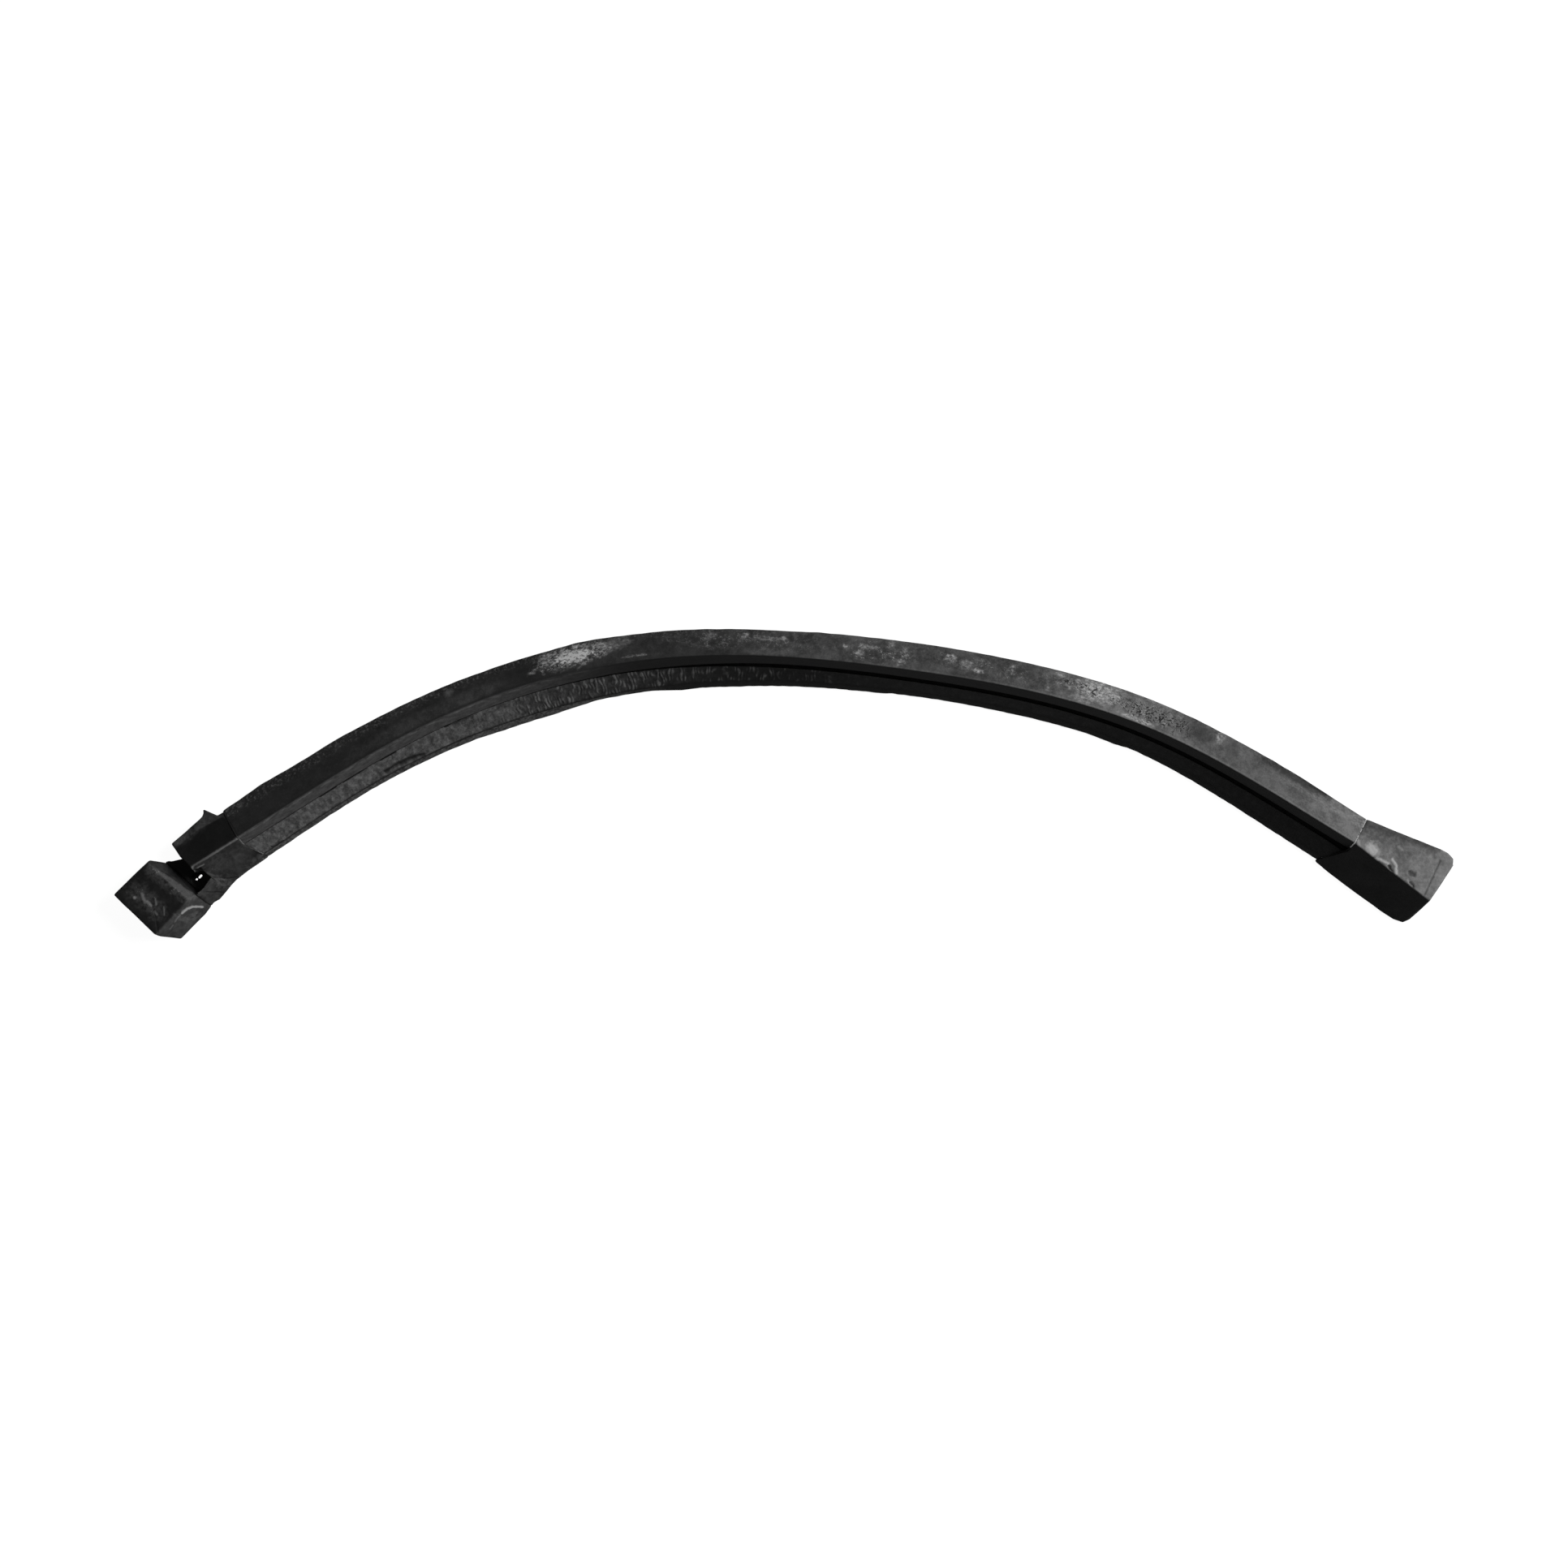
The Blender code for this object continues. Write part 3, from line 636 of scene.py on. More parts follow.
# Flange: sponge face with cross-wrinkles that are deepest before the crown of the arch.
# "wrinkleAlong" rows are: start, end, soft edge, share of the full depth.
flange = {
    "wrinklePitch": 2.9,
    "wrinkleDepth": 0.75,
    "wrinkleAlong": ((228.0, 352.0, 24.0, 1.0), (350.0, 480.0, 40.0, 0.42), (150.0, 228.0, 30.0, 0.30)),
    "wrinkleElsewhere": 0.06,
    "lumpDepth": 0.42,
    "lumpAlong": (-20.0, 300.0, 60.0),
    # slits are sunk into the face and painted dark as shade; those near -7 across are dashes of shade along
    # the groove by the bulb
    "slits": (
        {"path": ((116.0, -15.6), (128.0, -15.0), (137.0, -15.7), (148.0, -18.0)),
         "width": 1.8, "depth": 0.8},
        {"path": ((125.0, -15.4), (133.0, -15.7), (141.0, -16.6)), "width": 2.6, "depth": 1.0},
        {"path": ((10.5, -18.8), (14.0, -20.2), (22.0, -19.6)), "width": 1.6, "depth": 0.5},
        {"path": ((66.0, -6.9), (80.0, -7.1)), "width": 0.9, "depth": 0.5},
        {"path": ((86.0, -6.9), (106.0, -7.2)), "width": 0.8, "depth": 0.4},
        {"path": ((118.0, -7.0), (131.0, -6.9)), "width": 1.1, "depth": 0.6},
        {"path": ((172.0, -7.0), (180.0, -7.5), (194.0, -7.4)), "width": 1.1, "depth": 0.6},
        {"path": ((152.0, -20.2), (190.0, -20.8)), "width": 1.2, "depth": 0.3},
    ),
    "rootLift": 2.4,
    "rootDrops": (250.0, 110.0),
    "grooveOpens": (330.0, 110.0),
    "endGap": 1.5,
    "endGapOpens": (872.0, 17.0),
    "shadedRimWidth": 1.1,
    "shadedRimWide": (12.0, 20.0, 3.0),
    "arcSteps": 3,
    "topPieces": 16,
    # painted light: the face is lit on the left leg and fades to shade along the strip
    "paintedLightFades": (190.0, 430.0),
    "foldsShow": (205.0, 245.0),
    "foldsFade": (400.0, 520.0),
    "dark": 0.007,
    "bloom": 0.21,
}


def flangeCorners(inner, open, level):
    # open is 0 where the root lies against the bulb and 1 where the groove is widest
    # level is 1 where the root is flush with the bulb's inner band
    edge = -(inner - 2.6)
    root = -6.68 - 1.2 * open
    return (
        (root, 15.5 - 0.6 * open + flange["rootLift"] * level, 0.6, flange["topPieces"]),
        (edge, 6.3, 0.8, 2),
        (edge, 4.6, 0.4, 10),
        (-8.35, 12.95, 0.4, 1),
    )


def flangeWaves(along, across):
    # ridges of the wrinkled skin, 0 to 1, and how deep they are
    wander = 1.6 * grain(along / 17.0, across / 7.0, 0.0, seed=1.0)
    phase = (along + wander) / flange["wrinklePitch"]
    folds = 0.5 + 0.5 * np.cos(2 * np.pi * (phase + 0.75 * grain(along / 3.8, across / 5.0, 0.0, seed=2.0)))
    broken = 0.42 + 1.15 * grain(along / 5.5, across / 4.2, 0.0, seed=5.0)
    lumps = grain(along / 4.2, across / 3.4, 0.0, seed=8.0)
    lumps += 0.5 * grain(along / 1.9, across / 1.8, 0.0, seed=9.0)
    shares = [share * hump(along, low, high, soft) for low, high, soft, share in flange["wrinkleAlong"]]
    depth = (sum(shares) + flange["wrinkleElsewhere"]) * flange["wrinkleDepth"]
    lumpy = flange["lumpDepth"] * (hump(along, *flange["lumpAlong"]) * 0.75 + 0.22)
    return np.clip(folds * broken, 0, 1), depth, lumps, lumpy


def flangeFinish():
    made = Finish("flange sponge")
    where = made.where()
    along = made.layer("along")
    paintedFoldHighlight = made.layer("paintedFoldHighlight")
    mottle = made.noise(where, 3.0, detail=7.0, rough=0.70)
    cloud = made.noise(where, 14.0, detail=3.0)
    blob = made.noise(made.onStrip(4.6, 5.2), 1.0, detail=5.0, rough=0.72)
    pore = made.cells(where, 0.55)
    # painted light: lighter on the left leg, fading to shade along the strip
    paintedLitLeft = 1 - along.between(*flange["paintedLightFades"])
    wrinkled = along.between(*flange["foldsShow"]) * (1 - along.between(*flange["foldsFade"]))
    tone = 0.12 + mottle.between(0.38, 0.66) * 0.26 + cloud.between(0.35, 0.7) * 0.14
    tone = tone + blob.between(0.42, 0.70) * 0.46
    tone = tone * (0.06 + 0.94 * paintedLitLeft) * (1 - 0.45 * wrinkled)
    # painted highlight on the wrinkle ridges, leaving the creases darker as painted shade
    folds = paintedFoldHighlight.between(0.25, 0.85) * (0.04 + 0.46 * wrinkled) * (0.35 + 0.65 * blob.between(0.38, 0.60))
    # painted shade along the turned-down edge, in the slits and along the groove
    tone = (tone + folds) * (1 - 0.92 * made.layer("rim"))
    colour = made.blend(tone.clamped(), grey(flange["dark"]), grey(flange["bloom"]))
    height = mottle * 0.35 + pore * 0.10 + blob * 0.25
    return made.close(colour, 0.62 + 0.22 * mottle, height, bump=0.7, Specular_IOR_Level=0.30)


def makeFlange():
    # finer where the wrinkles are
    fineEnd = flange["foldsFade"][1]
    along = np.concatenate((stations(0.6, end=fineEnd), stations(1.2, start=fineEnd + 1.2)))
    inner = reach(strip["innerReach"], along)
    grooveOpen = rise(along, *flange["grooveOpens"]) + flange["endGap"] * rise(along, *flange["endGapOpens"])
    grooveOpen += 0.10 * np.maximum(grain(along / 3.5, 0.0, 0.0, seed=13.0), 0)
    level = 1 - rise(along, *flange["rootDrops"])
    level *= 1 - 0.35 * np.maximum(grain(along / 8.0, 0.0, 0.0, seed=16.0), 0)
    corners = flangeCorners(inner, grooveOpen, level)
    loops = roundedLoop(along, corners, arcSteps=flange["arcSteps"])
    u = loops[..., 0]
    folds, depth, lumps, lumpy = flangeWaves(along[:, None], u)
    facesUp = np.arange(u.shape[1]) < flange["topPieces"] + 2 * flange["arcSteps"]
    edge = u - corners[1][0][:, None]
    soft = np.clip(edge / 2.0, 0.25, 1) * np.clip((-8.0 - u) / 1.6, 0.15, 1)
    push = ((folds - 0.45) * depth + lumps * lumpy) * facesUp * soft
    loops = loops + outwards(loops) * push[..., None]
    # mask for the painted highlight on the wrinkle ridges and lumps
    paintedFoldHighlight = np.clip(folds * (depth / flange["wrinkleDepth"]) * 1.5 + 0.5 * (lumps + 0.4) * (1 - depth), 0, 1)
    width = 1 + 0.5 * grain(along / 5.0, 0.0, 0.0, seed=17.0) + hump(along, *flange["shadedRimWide"])
    # painted shade along the edge of the face, wider at the tear near the start
    rim = np.clip(1.4 - edge / (flange["shadedRimWidth"] * width[:, None]), 0, 1)
    ragged = 1 + 0.3 * grain(along[:, None] / 2.6, u / 2.0, 0.0, seed=19.0)
    cut = 0 * u
    for slit in flange["slits"]:
        gap = pathGap(along[:, None] + 0 * u, u, slit["path"]) / (slit["width"] / 2 * ragged)
        amount = np.clip(1.5 - gap, 0, 1) * facesUp
        cut = np.maximum(cut, slit["depth"] * amount)
        rim = np.maximum(rim, amount)
    loops = loops - outwards(loops) * cut[..., None]
    mesh = sweep("flange_sponge_face", along, loops, marks={"paintedFoldHighlight": paintedFoldHighlight.ravel(), "rim": rim.ravel()})
    meshPiece("flange_sponge_face", mesh, flangeFinish(), "flange_sponge", "flange_pad")
    print("flange face done", len(mesh.polygons))


# Lip: the thin edge along the flange, which bulges in one place
lip = {
    "overhang": 0.55,
    "edgeWander": (
        (0, 0.4), (100, 0.2), (150, 0.5), (190, 0.9), (212, 1.9), (250, 1.8), (268, 0.9), (288, -0.8),
        (330, -0.3), (354, 1.9), (366, 1.2), (400, 1.4), (440, 0.8), (505, 0.9), (514, 0.2), (550, 0.3),
        (600, 1.1), (660, 1.0), (687, 1.6), (697, 0.5), (760, 1.1), (800, 1.2), (877, 0.6),
    ),
    "ripple": 0.28,
    "sag": 0.25,
    "lipPaintedLightFades": (262.0, 350.0),
    "dark": 0.007,
    "bloom": 0.15,
}


def lipFinish():
    made = Finish("lip rubber")
    where = made.where()
    mottle = made.noise(where, 3.0, detail=6.0, rough=0.65)
    grit = made.noise(made.onStrip(2.2, 1.1), 1.0, detail=4.0, rough=0.6)
    # painted light: lighter on the left leg, fading to shade along the strip
    lipPaintedLight = 1 - 0.94 * made.layer("along").between(*lip["lipPaintedLightFades"])
    tone = (0.10 + mottle.between(0.38, 0.66) * 0.35 + grit.between(0.42, 0.64) * 0.35) * lipPaintedLight
    colour = made.blend(tone.clamped(), grey(lip["dark"]), grey(lip["bloom"]))
    height = mottle * 0.15 + grit * 0.15
    return made.close(colour, 0.5 + 0.2 * mottle, height, bump=0.6, Specular_IOR_Level=0.35)


def makeLip():
    along = stations(1.0, start=-lip["overhang"], end=strip["length"] + lip["overhang"])
    reached = reach(strip["innerReach"], along)
    inner = reached - 0.2 + followed(lip["edgeWander"], along)
    inner += lip["ripple"] * grain(along / 6.0, 0.0, 0.0, seed=6.0)
    root = -(reached - 2.7)
    sag = lip["sag"] * grain(along / 12.0, 0.0, 0.0, seed=7.0)
    corners = (
        (root, 5.8, 0.3, 3),
        (-inner + 0.3, 2.7 + sag, 0.7, 1),
        (-inner, 1.2, 0.5, 3),
        (root, 0.5, 0.3, 3),
    )
    mesh = sweep("drip_lip_edge", along, roundedLoop(along, corners, arcSteps=3))
    meshPiece("drip_lip_edge", mesh, lipFinish(), "lip_rubber", "drip_lip")
    print("lip done", len(mesh.polygons))


# Seams: the thin raised line of cured film where a moulding meets the strip
seam = {
    "thickness": 1.1,
    "proud": 0.45,
    "depth": 2.0,
    "rows": 5,
    "offset": 0.3,
    "dark": 0.010,
    "pale": 0.50,
}


def seamFinish():
    made = Finish("seam film")
    where = made.where()
    blot = made.noise(where, 2.4, detail=5.0, rough=0.65)
    farEnd = made.layer("along").between(400.0, 500.0)
    across = made.layer("across")
    nearPale = (1 - across.between(-1.5, 0.5)) * 0.30
    farPale = across.between(-4.6, -3.6)
    pale = blot.between(0.30, 0.56) * (nearPale * (1 - farEnd) + farPale * farEnd)
    colour = made.blend(pale, grey(seam["dark"]), grey(seam["pale"]))
    return made.close(colour, 0.45 + 0.2 * blot, blot * 0.2, bump=0.5)


def makeSeam(name, node, middle, finish):
    rows = np.linspace(-0.5, 0.5, seam["rows"])
    along = middle + rows * seam["thickness"]
    proud = seam["proud"]
    outer = float(reach(strip["outerReach"], np.array([middle]))[0]) + 0 * along
    inner = float(reach(strip["innerReach"], np.array([middle]))[0]) + 0 * along
    corners = (
        (0.0, ridgeHeight + proud, 1.3, 10),
        (outer - 0.8, 15.6 + proud, 1.0, 1),
        (outer + 0.5 * proud, 14.2, 0.8, 1),
        (outer - 0.8, 10.5, 0.8, 2),
        (16.4, 1.4, 0.5, 1),
        (14.2, 0.2, 0.5, 8),
        (-inner + 4.8, 0.2, 0.5, 2),
        (-inner + 2.7, 6.2 + proud, 0.8, 8),
        (-7.8, 15.2 + proud, 0.6, 1),
        (-6.7, 18.0, 0.5, 5),
    )
    loops = roundedLoop(along, corners, arcSteps=3)
    swell = proud * 0.6 * (1 - (2 * rows) ** 2)[:, None]
    swell = swell * (0.6 + 0.6 * grain(loops[..., 0] / 3.0, loops[..., 1] / 3.0, middle))
    loops = loops + outwards(loops) * swell[..., None]
    mesh = sweep(name, along, loops, hollow=loops - outwards(loops) * seam["depth"])
    meshPiece(name, mesh, finish, "splice_film", node)


# Mouldings: remade from the CAD solids as one soft-edged skin each, then marked.
# "darkFace" is the face, in plan, that gets no bloom and no painted light; upward faces elsewhere get bloom
# and painted light. A mark follows a path: "rise" lifts or sinks it,
# "worn" whitens it, "dark" darkens it (painted shade in creases, dents and the notch floor; also darker along
# the right moulding's outer edge) and "cloud" mottles it. A pull is x, y, size and the move in x and y.
def remoulded(name, node, voxel, passes):
    source = bpy.data.objects.new(name + "_source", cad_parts[node].data.copy())
    bpy.context.collection.objects.link(source)
    remesh = source.modifiers.new("skin", "REMESH")
    remesh.mode = "VOXEL"
    remesh.voxel_size = voxel * mm
    soften = source.modifiers.new("soften", "SMOOTH")
    soften.factor = 0.5
    soften.iterations = passes
    bpy.context.view_layer.update()
    ready = source.evaluated_get(bpy.context.evaluated_depsgraph_get())
    mesh = bpy.data.meshes.new_from_object(ready)
    mesh.name = name
    bpy.data.objects.remove(source, do_unlink=True)
    return mesh


def within(x, y, face, soft=0.9):
    # 1 inside a convex face seen in plan, easing to 0 across its edges
    inside = np.ones(x.shape)
    area = sum(a[0] * b[1] - b[0] * a[1] for a, b in zip(face, face[1:] + face[:1]))
    for a, b in zip(face, face[1:] + face[:1]):
        dx, dy = b[0] - a[0], b[1] - a[1]
        gap = (dx * (y - a[1]) - dy * (x - a[0])) / math.hypot(dx, dy) * math.copysign(1, area)
        inside = inside * np.clip(0.5 + gap / soft, 0, 1)
    return inside


def markMoulding(mesh, look):
    count = len(mesh.vertices)
    coords = np.zeros(count * 3)
    mesh.vertices.foreach_get("co", coords)
    coords = coords.reshape(-1, 3) / mm
    normals = np.zeros(count * 3)
    mesh.vertex_normals.foreach_get("vector", normals)
    normals = normals.reshape(-1, 3)
    upper = np.clip((normals[:, 2] - 0.15) / 0.3, 0, 1)
    x, y, z = coords.T
    # bloom and painted light on upward faces outside the dark face
    topBloomAndLight = (1 - within(x, y, look["darkFace"])) * upper
    push = look["swell"] + look["waver"] * grain(x / 13.0, y / 13.0, z / 13.0, seed=look["seed"])
    push += look["peel"] * grain(x / 2.6, y / 2.6, z / 2.6, seed=look["seed"])
    layers = {key: np.zeros(count) for key in ("worn", "dark", "cloud")}
    ragged = 1 + 0.45 * grain(x / 1.9, y / 1.9, z / 1.9, seed=11.0)
    for mark in look["marks"]:
        gap = pathGap(x, y, mark["path"]) / (mark["width"] / 2 * ragged)
        amount = np.clip(1.5 - gap, 0, 1) * (1 if mark.get("onSides") else upper)
        if mark.get("below"):
            amount = amount * (z < mark["below"])
        if look["marksStayOnFace"]:
            amount = amount * topBloomAndLight
        push += mark.get("rise", 0.0) * amount
        for key, values in layers.items():
            values[:] = np.maximum(values, mark.get(key, 0.0) * amount)
    if "meets" in look:
        # the skin reaches out to its neighbour, so that no light passes between them
        near = np.clip(2.0 - pathGap(x, y, look["meets"]["path"]) / 2.0, 0, 1)
        push += look["meets"]["reach"] * near * np.clip(1.3 - np.abs(normals[:, 2]) * 1.6, 0, 1)
    push *= 1 - np.clip(-2 * normals[:, 2], 0, 1)  # the foot stays flat
    coords += normals * push[:, None]
    for pullX, pullY, size, moveX, moveY in look.get("pulls", ()):
        amount = np.clip(1 - np.hypot(x - pullX, y - pullY) / size, 0, 1)
        coords[:, 0] += moveX * amount
        coords[:, 1] += moveY * amount
    coords[:, 2] = np.maximum(coords[:, 2], 0.0)
    mesh.vertices.foreach_set("co", (coords * mm).ravel())
    layers["topBloomAndLight"] = topBloomAndLight
    for label, values in layers.items():
        mesh.attributes.new(label, "FLOAT", "POINT").data.foreach_set("value", np.float32(values))


def mouldedFinish(name, look):
    made = Finish(name)
    where = made.where()
    worn = made.layer("worn")
    darkMarksAndShade = made.layer("dark")
    cloud = made.noise(where, look["cloudSize"], detail=4.0, rough=0.6)
    mottle = made.noise(where, 3.4, detail=6.0, rough=0.66)
    speck = made.noise(where, 1.0, detail=3.0)
    upward = made.layer("topBloomAndLight")
    tone = cloud.between(0.32, 0.70) * 0.55 + mottle.between(0.38, 0.70) * 0.45
    # upward faces get bloom and painted light; sides keep only the sideShare of it
    tone = tone * look["bloomShare"] * (look["sideShare"] + (1 - look["sideShare"]) * upward)
    cloudy = made.layer("cloud")
    tone = tone + upward * look["paleBase"] + cloudy * mottle.between(0.30, 0.62) * 0.8
    chips = speck.between(0.62, 0.72) * mottle.between(0.45, 0.60) * (look["chips"] * upward + cloudy * 0.8)
    colour = made.blend(tone.clamped(), grey(look["dark"]), grey(look["bloom"]))
    colour = made.blend((worn * (0.55 + 0.6 * speck) + chips).clamped(), colour, grey(look["chalk"]))
    # painted shade: creases, dents and the notch floor darkened nearly to black
    colour = made.blend(darkMarksAndShade.clamped(), colour, grey(0.003))
    height = mottle * 0.22 + speck * 0.08
    roughness = (look["roughness"] + 0.18 * mottle + 0.12 * worn).clamped()
    return made.close(colour, roughness, height, bump=0.5, Specular_IOR_Level=look["gloss"])


leftMoulding = {
    "swell": 0.2,
    "darkFace": ((-399.0, -37.6), (-442.0, -64.2), (-453.0, -52.0), (-444.7, -45.2), (-437.0, -37.0),
                 (-412.5, -24.0)),
    "marksStayOnFace": False,
    "paleBase": 0.10,
    "meets": {"path": ((-457.0, -58.4), (-435.2, -77.5), (-422.4, -91.0)), "reach": 0.75},
    "voxel": 0.55,
    "passes": 5,
    "seed": 21.0,
    "waver": 0.22,
    "peel": 0.05,
    "cloudSize": 17.0,
    "dark": 0.0045,
    "bloom": 0.060,
    "chalk": 0.34,
    "bloomShare": 0.80,
    "sideShare": 0.12,
    "chips": 0.10,
    "roughness": 0.48,
    "gloss": 0.30,
    "marks": (
        # sunken creases painted dark as shade
        {"path": ((-419.5, -68.8), (-411.0, -69.8), (-403.5, -68.8)),
         "width": 1.3, "rise": -0.40, "dark": 0.55},
        {"path": ((-424.8, -79.4), (-414.2, -80.0)), "width": 1.0, "rise": -0.35, "dark": 0.6},
        {"path": ((-400.8, -40.0), (-424.5, -55.0), (-433.0, -60.2)),
         "width": 1.2, "rise": 0.15, "worn": 0.42},
        {"path": ((-433.6, -61.2), (-433.9, -63.4), (-432.4, -64.8)),
         "width": 1.4, "rise": 0.4, "worn": 0.95},
        {"path": ((-430.4, -61.4), (-425.6, -58.8)), "width": 0.9, "rise": 0.2, "worn": 0.35},
        # a small sunken hole painted dark as shade
        {"path": ((-430.0, -63.6), (-428.2, -62.8)), "width": 2.4, "rise": -0.9, "dark": 1.0},
        {"path": ((-436.4, -71.3), (-429.4, -65.7)), "width": 5.6, "rise": -0.95, "onSides": True},
        # painted shade on the notch floor beside the block, below 7 mm
        {"path": ((-449.0, -56.0), (-437.0, -67.0), (-427.0, -77.0)),
         "width": 13.0, "dark": 1.0, "below": 7.0},
        {"path": ((-426.5, -27.0), (-445.0, -42.0)), "width": 8.0, "cloud": 0.55},
        {"path": ((-416.0, -71.5), (-412.4, -73.5)), "width": 8.0, "cloud": 0.75},
        {"path": ((-393.0, -60.0), (-386.0, -55.0)), "width": 7.0, "cloud": 0.70},
        {"path": ((-421.0, -60.0), (-410.0, -54.0)), "width": 7.0, "cloud": 0.30},
    ),
    "pulls": ((-420.3, -90.1, 6.0, -1.6, 1.4),),
}

leftBlock = {
    "swell": 0.2,
    "pulls": ((-422.9, -91.0, 7.0, -0.9, 0.8),),
    "darkFace": ((-466.8, -57.9), (-491.6, -81.4), (-461.2, -110.2), (-436.6, -84.6)),
    "marksStayOnFace": False,
    "paleBase": 0.22,
    "voxel": 0.55,
    "passes": 3,
    "seed": 33.0,
    "waver": 0.25,
    "peel": 0.05,
    "cloudSize": 15.0,
    "dark": 0.0045,
    "bloom": 0.075,
    "chalk": 0.42,
    "bloomShare": 0.70,
    "sideShare": 0.25,
    "chips": 0.10,
    "roughness": 0.46,
    "gloss": 0.32,
    "marks": (
        {"path": ((-442.0, -94.5), (-438.6, -91.6), (-435.0, -90.1), (-430.8, -90.2), (-428.6, -90.5)),
         "width": 1.5, "rise": 0.3, "worn": 1.0},
        {"path": ((-442.6, -95.2), (-445.4, -98.0), (-447.4, -101.2)),
         "width": 0.9, "rise": 0.2, "worn": 0.20},
        {"path": ((-449.0, -103.6), (-451.4, -106.6)), "width": 0.8, "rise": 0.2, "worn": 0.16},
        {"path": ((-446.6, -96.8), (-440.0, -100.0)), "width": 4.0, "cloud": 0.7},
        {"path": ((-436.0, -99.0), (-433.4, -95.6)), "width": 4.0, "cloud": 0.9},
        # painted light: the notch-side band, which lies in the sleeve's shadow, is lightened
        {"path": ((-461.5, -62.8), (-450.0, -71.5), (-438.0, -80.5)), "width": 11.0, "cloud": 1.0},
        # a sunken crease painted dark as shade
        {"path": ((-463.4, -88.0), (-460.4, -98.0), (-459.0, -109.0)),
         "width": 1.0, "rise": -0.25, "dark": 0.35},
        {"path": ((-474.0, -79.0), (-466.0, -86.0), (-461.0, -93.0)), "width": 13.0, "cloud": 0.75},
        {"path": ((-476.4, -83.4), (-476.0, -83.6)), "width": 1.9, "rise": 0.2, "worn": 0.65},
        {"path": ((-470.8, -80.8), (-468.2, -86.6)), "width": 2.4, "rise": 0.2, "worn": 0.40},
        {"path": ((-466.8, -86.4), (-464.2, -89.0)), "width": 2.2, "rise": 0.2, "worn": 0.45},
        {"path": ((-460.8, -84.2), (-460.2, -88.6)), "width": 1.2, "rise": 0.2, "worn": 0.35},
        {"path": ((-461.4, -93.6), (-459.8, -95.6)), "width": 1.6, "rise": 0.2, "worn": 0.30},
        {"path": ((-454.6, -90.0), (-454.2, -96.0)), "width": 1.0, "rise": 0.2, "worn": 0.28},
    ),
}

rightMoulding = {
    "swell": 0.15,
    "darkFace": ((416.2, -41.4), (380.0, -50.0), (440.0, -130.0), (474.6, -86.6)),
    "marksStayOnFace": True,
    "paleBase": 0.30,
    "voxel": 0.6,
    "passes": 5,
    "seed": 45.0,
    "waver": 0.28,
    "peel": 0.06,
    "cloudSize": 16.0,
    "dark": 0.0045,
    "bloom": 0.265,
    "chalk": 0.60,
    "bloomShare": 0.85,
    "sideShare": 0.03,
    "chips": 0.14,
    "roughness": 0.44,
    "gloss": 0.42,
    "marks": (
        {"path": ((430.2, -47.0), (431.6, -49.4)), "width": 7.0, "rise": 0.35, "worn": 1.0},
        # a sunken dent painted dark as shade
        {"path": ((443.4, -60.0), (445.6, -65.8)), "width": 1.9, "rise": -1.0, "dark": 0.95},
        {"path": ((445.8, -55.4), (448.6, -60.2), (448.4, -65.6)), "width": 2.0, "rise": 0.4, "worn": 0.95},
        {"path": ((431.2, -54.6), (437.0, -55.6), (442.8, -58.6)), "width": 1.9, "rise": 0.3, "worn": 0.85},
        {"path": ((434.6, -58.0), (440.4, -63.0)), "width": 1.5, "rise": 0.3, "worn": 0.75},
        {"path": ((450.6, -46.4), (453.0, -48.4)), "width": 2.2, "rise": 0.2, "worn": 0.40},
        # sunken dents painted dark as shade
        {"path": ((459.2, -65.4), (461.8, -66.4)), "width": 3.0, "rise": -0.7, "dark": 0.75},
        {"path": ((459.0, -72.4), (461.4, -74.6), (460.2, -76.2)), "width": 1.5, "rise": -0.7, "dark": 0.80},
        {"path": ((456.6, -70.8), (458.4, -74.0)), "width": 1.8, "rise": 0.3, "worn": 0.35},
        # a sunken line painted dark as shade
        {"path": ((481.6, -56.6), (469.1, -81.7)), "width": 1.3, "rise": -0.4, "dark": 0.28},
        {"path": ((420.6, -45.2), (421.6, -47.4)), "width": 2.6, "rise": 0.2, "worn": 0.70},
        {"path": ((430.0, -29.0), (445.0, -34.0), (460.0, -39.5), (478.0, -47.0)),
         "width": 9.0, "dark": 0.60},
        {"path": ((436.0, -38.0), (443.0, -43.0)), "width": 6.0, "dark": 0.30},
        {"path": ((450.0, -44.0), (462.0, -50.0)), "width": 8.0, "dark": 0.18},
        {"path": ((476.6, -51.0), (478.6, -54.6)), "width": 2.4, "dark": 0.45},
        {"path": ((414.6, -29.0), (418.0, -36.0), (421.4, -43.0)), "width": 2.2, "worn": 0.40},
    ),
}


def makeMouldings():
    rows = (
        ("left_sleeve_and_arm", "left_end_moulding", leftMoulding, "left_moulded_rubber"),
        ("left_leaning_block", "left_end_block", leftBlock, "block_rubber"),
        ("right_wedge_end", "right_end_moulding", rightMoulding, "right_moulded_rubber"),
    )
    for name, node, look, slotName in rows:
        mesh = remoulded(name, node, look["voxel"], look["passes"])
        markMoulding(mesh, look)
        meshPiece(name, mesh, mouldedFinish(slotName.replace("_", " "), look), slotName, node)
        print(name, "done", len(mesh.polygons))


# Inner parts keep their CAD solids and get their own finishes
inserts = {
    "steel": 0.42,
    "steelDull": 0.20,
    "steelDullWarm": 0.12,
    "yarn": (0.46, 0.43, 0.36, 1.0),
    "yarnDark": (0.22, 0.20, 0.16, 1.0),
    "foam": 0.028,
    "foamPale": 0.075,
}


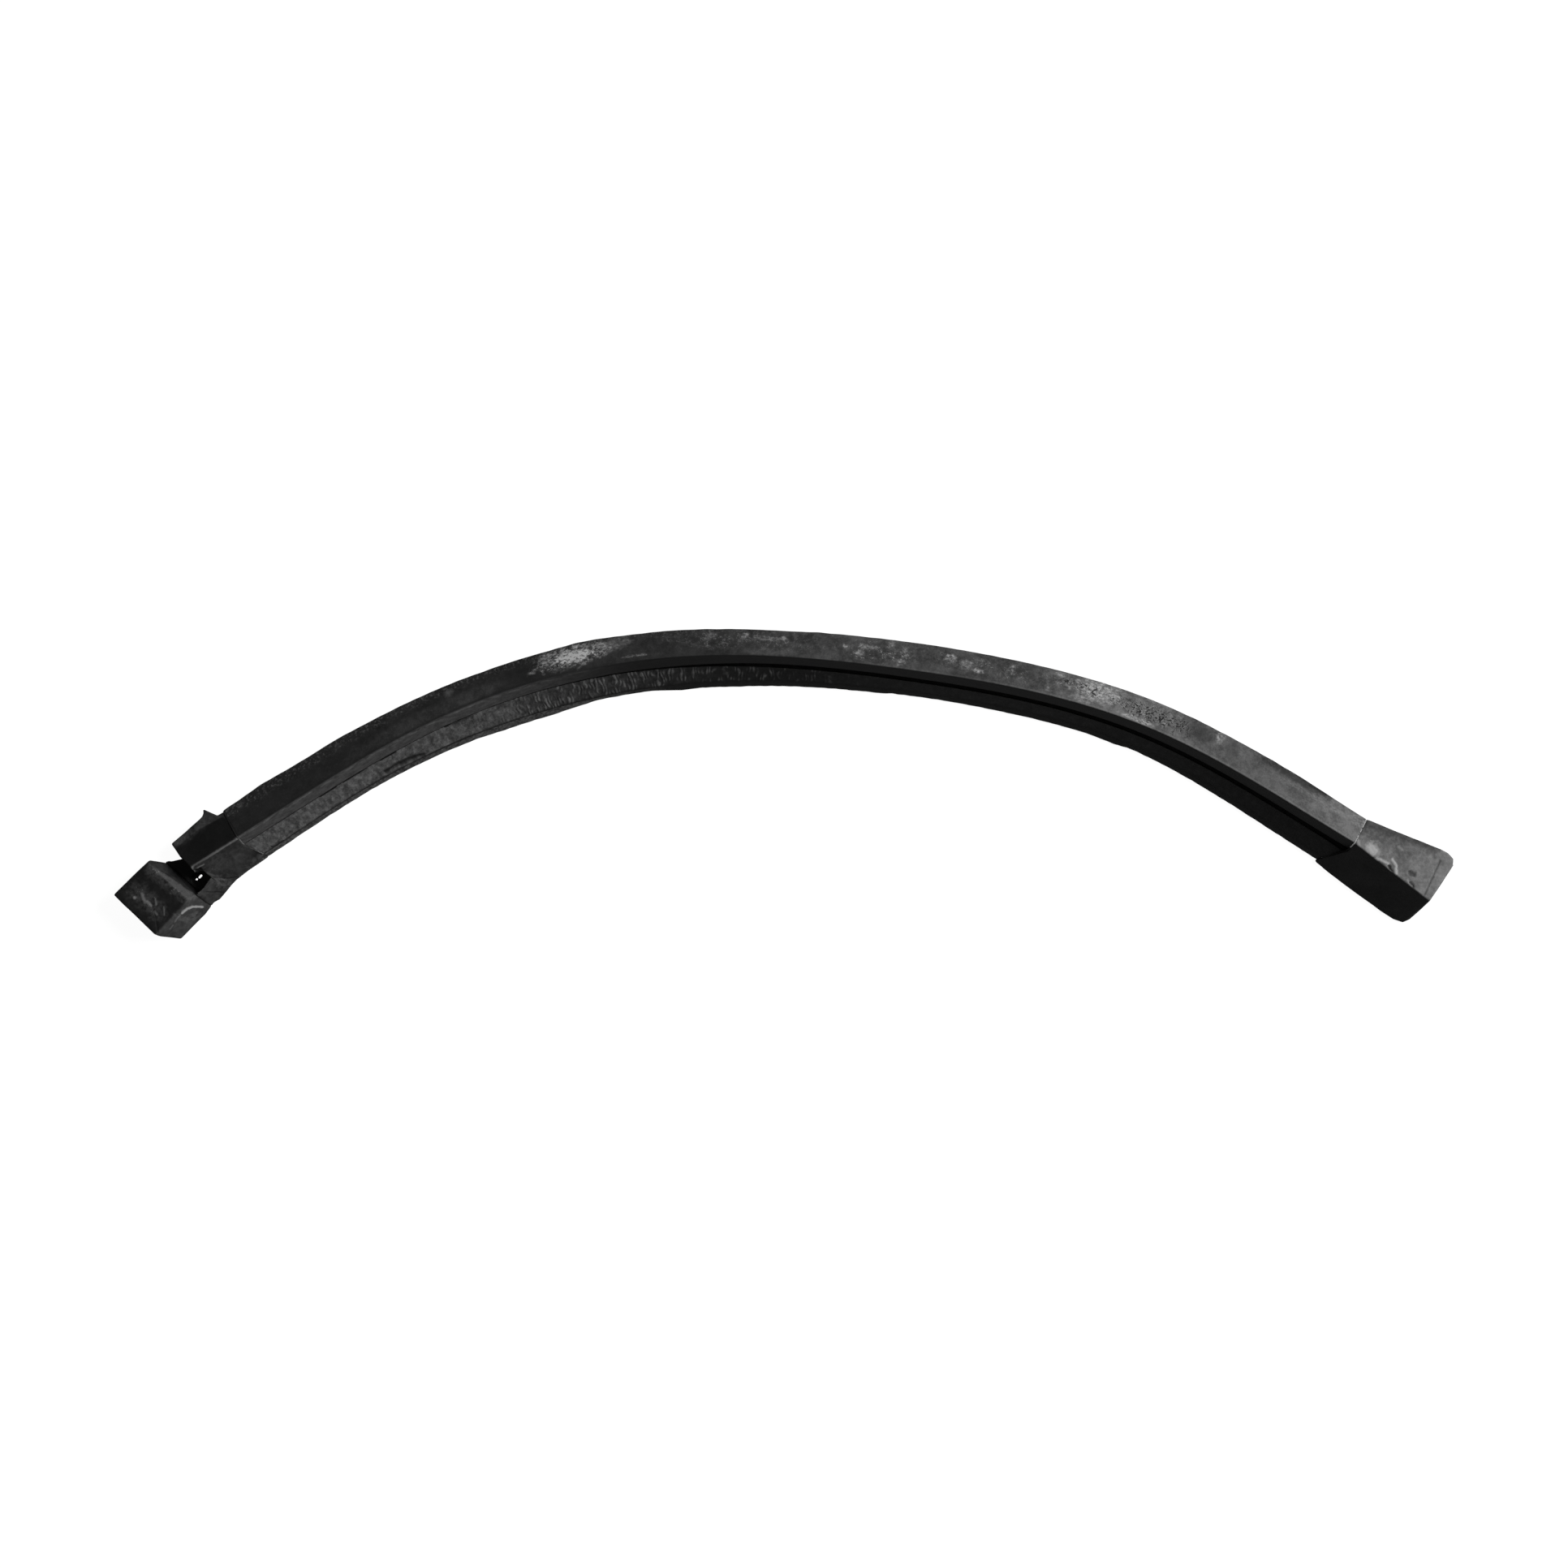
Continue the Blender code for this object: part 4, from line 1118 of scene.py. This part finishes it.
def steelFinish(name, brushed):
    made = Finish(name)
    where = made.where(brushed)
    lines = made.noise(where, 1.4, detail=5.0, rough=0.7)
    stain = made.noise(made.where(), 7.0, detail=4.0)
    dull = grey(inserts["steelDull"], warm=inserts["steelDullWarm"])
    colour = made.blend(stain.between(0.4, 0.75), grey(inserts["steel"]), dull)
    return made.close(colour, 0.30 + 0.25 * lines, lines * 0.1, bump=0.25, Metallic=1.0)


def yarnFinish():
    made = Finish("cord yarn")
    twist = made.node("ShaderNodeTexWave", {"bands_direction": "DIAGONAL"},
                      {"Vector": made.where(), "Scale": 0.35, "Distortion": 1.5})
    colour = made.blend(twist, inserts["yarnDark"], inserts["yarn"])
    return made.close(colour, 0.85 + 0.1 * twist, twist * 0.3, bump=0.8)


def foamFinish():
    made = Finish("plug foam")
    pores = made.cells(made.where(), 0.8)
    colour = made.blend(pores.between(0.1, 0.7), grey(inserts["foam"]), grey(inserts["foamPale"]))
    return made.close(colour, 0.9 + 0.08 * pores, pores * 0.5, bump=1.0, Specular_IOR_Level=0.2)


def dressInnerParts():
    carrier = steelFinish("carrier steel", (0.1, 2.0, 2.0))
    insert = steelFinish("insert steel", (1.0, 1.0, 0.3))
    foam = foamFinish()
    finishes = {"steel_carrier": carrier, "stretch_cord": yarnFinish()}
    for side in ("left", "right"):
        finishes[side + "_bulb_plug"] = foam
        finishes[side + "_insert_plate"] = insert
        finishes[side + "_fixing_bush"] = insert
    for node, finish in finishes.items():
        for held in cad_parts[node].material_slots:
            held.material = finish
    print("inner parts dressed", len(finishes))


# Floor, light and camera
studio = {
    "floor": 0.22,
    "floorGlow": 0.95,
    "floorHalf": 20.0,
    "floorDrop": 0.0002,
    "keyStrength": 2.1,
    "keySoftness": 34.0,
    "keyAzimuth": 22.0,
    "keyElevation": 36.0,
    "world": 0.11,
    "cameraHeight": 3.0,
    "lens": 93.1677,
    "sensor": 36.0,
}


def makeStudio():
    mesh = bpy.data.meshes.new("pale_floor")
    half = studio["floorHalf"]
    corners = [(-half, -half, 0), (half, -half, 0), (half, half, 0), (-half, half, 0)]
    mesh.from_pydata(corners, [], [(0, 1, 2, 3)])
    floor = bpy.data.objects.new("pale_floor", mesh)
    floor.location.z = cadBox[0][2] - studio["floorDrop"]
    bpy.context.collection.objects.link(floor)
    made = Finish("pale floor")
    made.close(grey(studio["floor"]), 0.9, Specular_IOR_Level=0.1)
    made.shader.inputs["Emission Color"].default_value = (1.0, 1.0, 1.0, 1.0)
    made.shader.inputs["Emission Strength"].default_value = studio["floorGlow"]
    mesh.materials.append(made.made)
    floor.visible_glossy = False

    scene = bpy.context.scene
    scene.view_settings.view_transform = "Standard"
    world = bpy.data.worlds.new("studio")
    world.use_nodes = True
    world.node_tree.nodes["Background"].inputs["Color"].default_value = (1.0, 1.0, 1.0, 1.0)
    world.node_tree.nodes["Background"].inputs["Strength"].default_value = studio["world"]
    scene.world = world

    key = bpy.data.lights.new("key", "SUN")
    key.energy = studio["keyStrength"]
    key.angle = math.radians(studio["keySoftness"])
    lamp = bpy.data.objects.new("key", key)
    azimuth = math.radians(studio["keyAzimuth"])
    elevation = math.radians(studio["keyElevation"])
    towards = Vector((math.cos(azimuth) * math.cos(elevation), math.sin(azimuth) * math.cos(elevation),
                      math.sin(elevation)))
    lamp.rotation_euler = towards.to_track_quat("Z", "Y").to_euler()
    bpy.context.collection.objects.link(lamp)

    lens = bpy.data.cameras.new("overhead")
    lens.sensor_width = studio["sensor"]
    lens.lens = studio["lens"]
    camera = bpy.data.objects.new("overhead", lens)
    camera.location = (0.0, 0.0, studio["cameraHeight"])
    bpy.context.collection.objects.link(camera)
    scene.camera = camera
    print("studio ready")


makeStudio()
makeBulb()
makeBase()
makeFlange()
makeLip()
seamFilm = seamFinish()
makeSeam("left_seam_line", "left_splice_film", -seam["offset"], seamFilm)
makeSeam("right_seam_line", "right_splice_film", strip["length"] + seam["offset"], seamFilm)
print("seams done")
makeMouldings()
dressInnerParts()
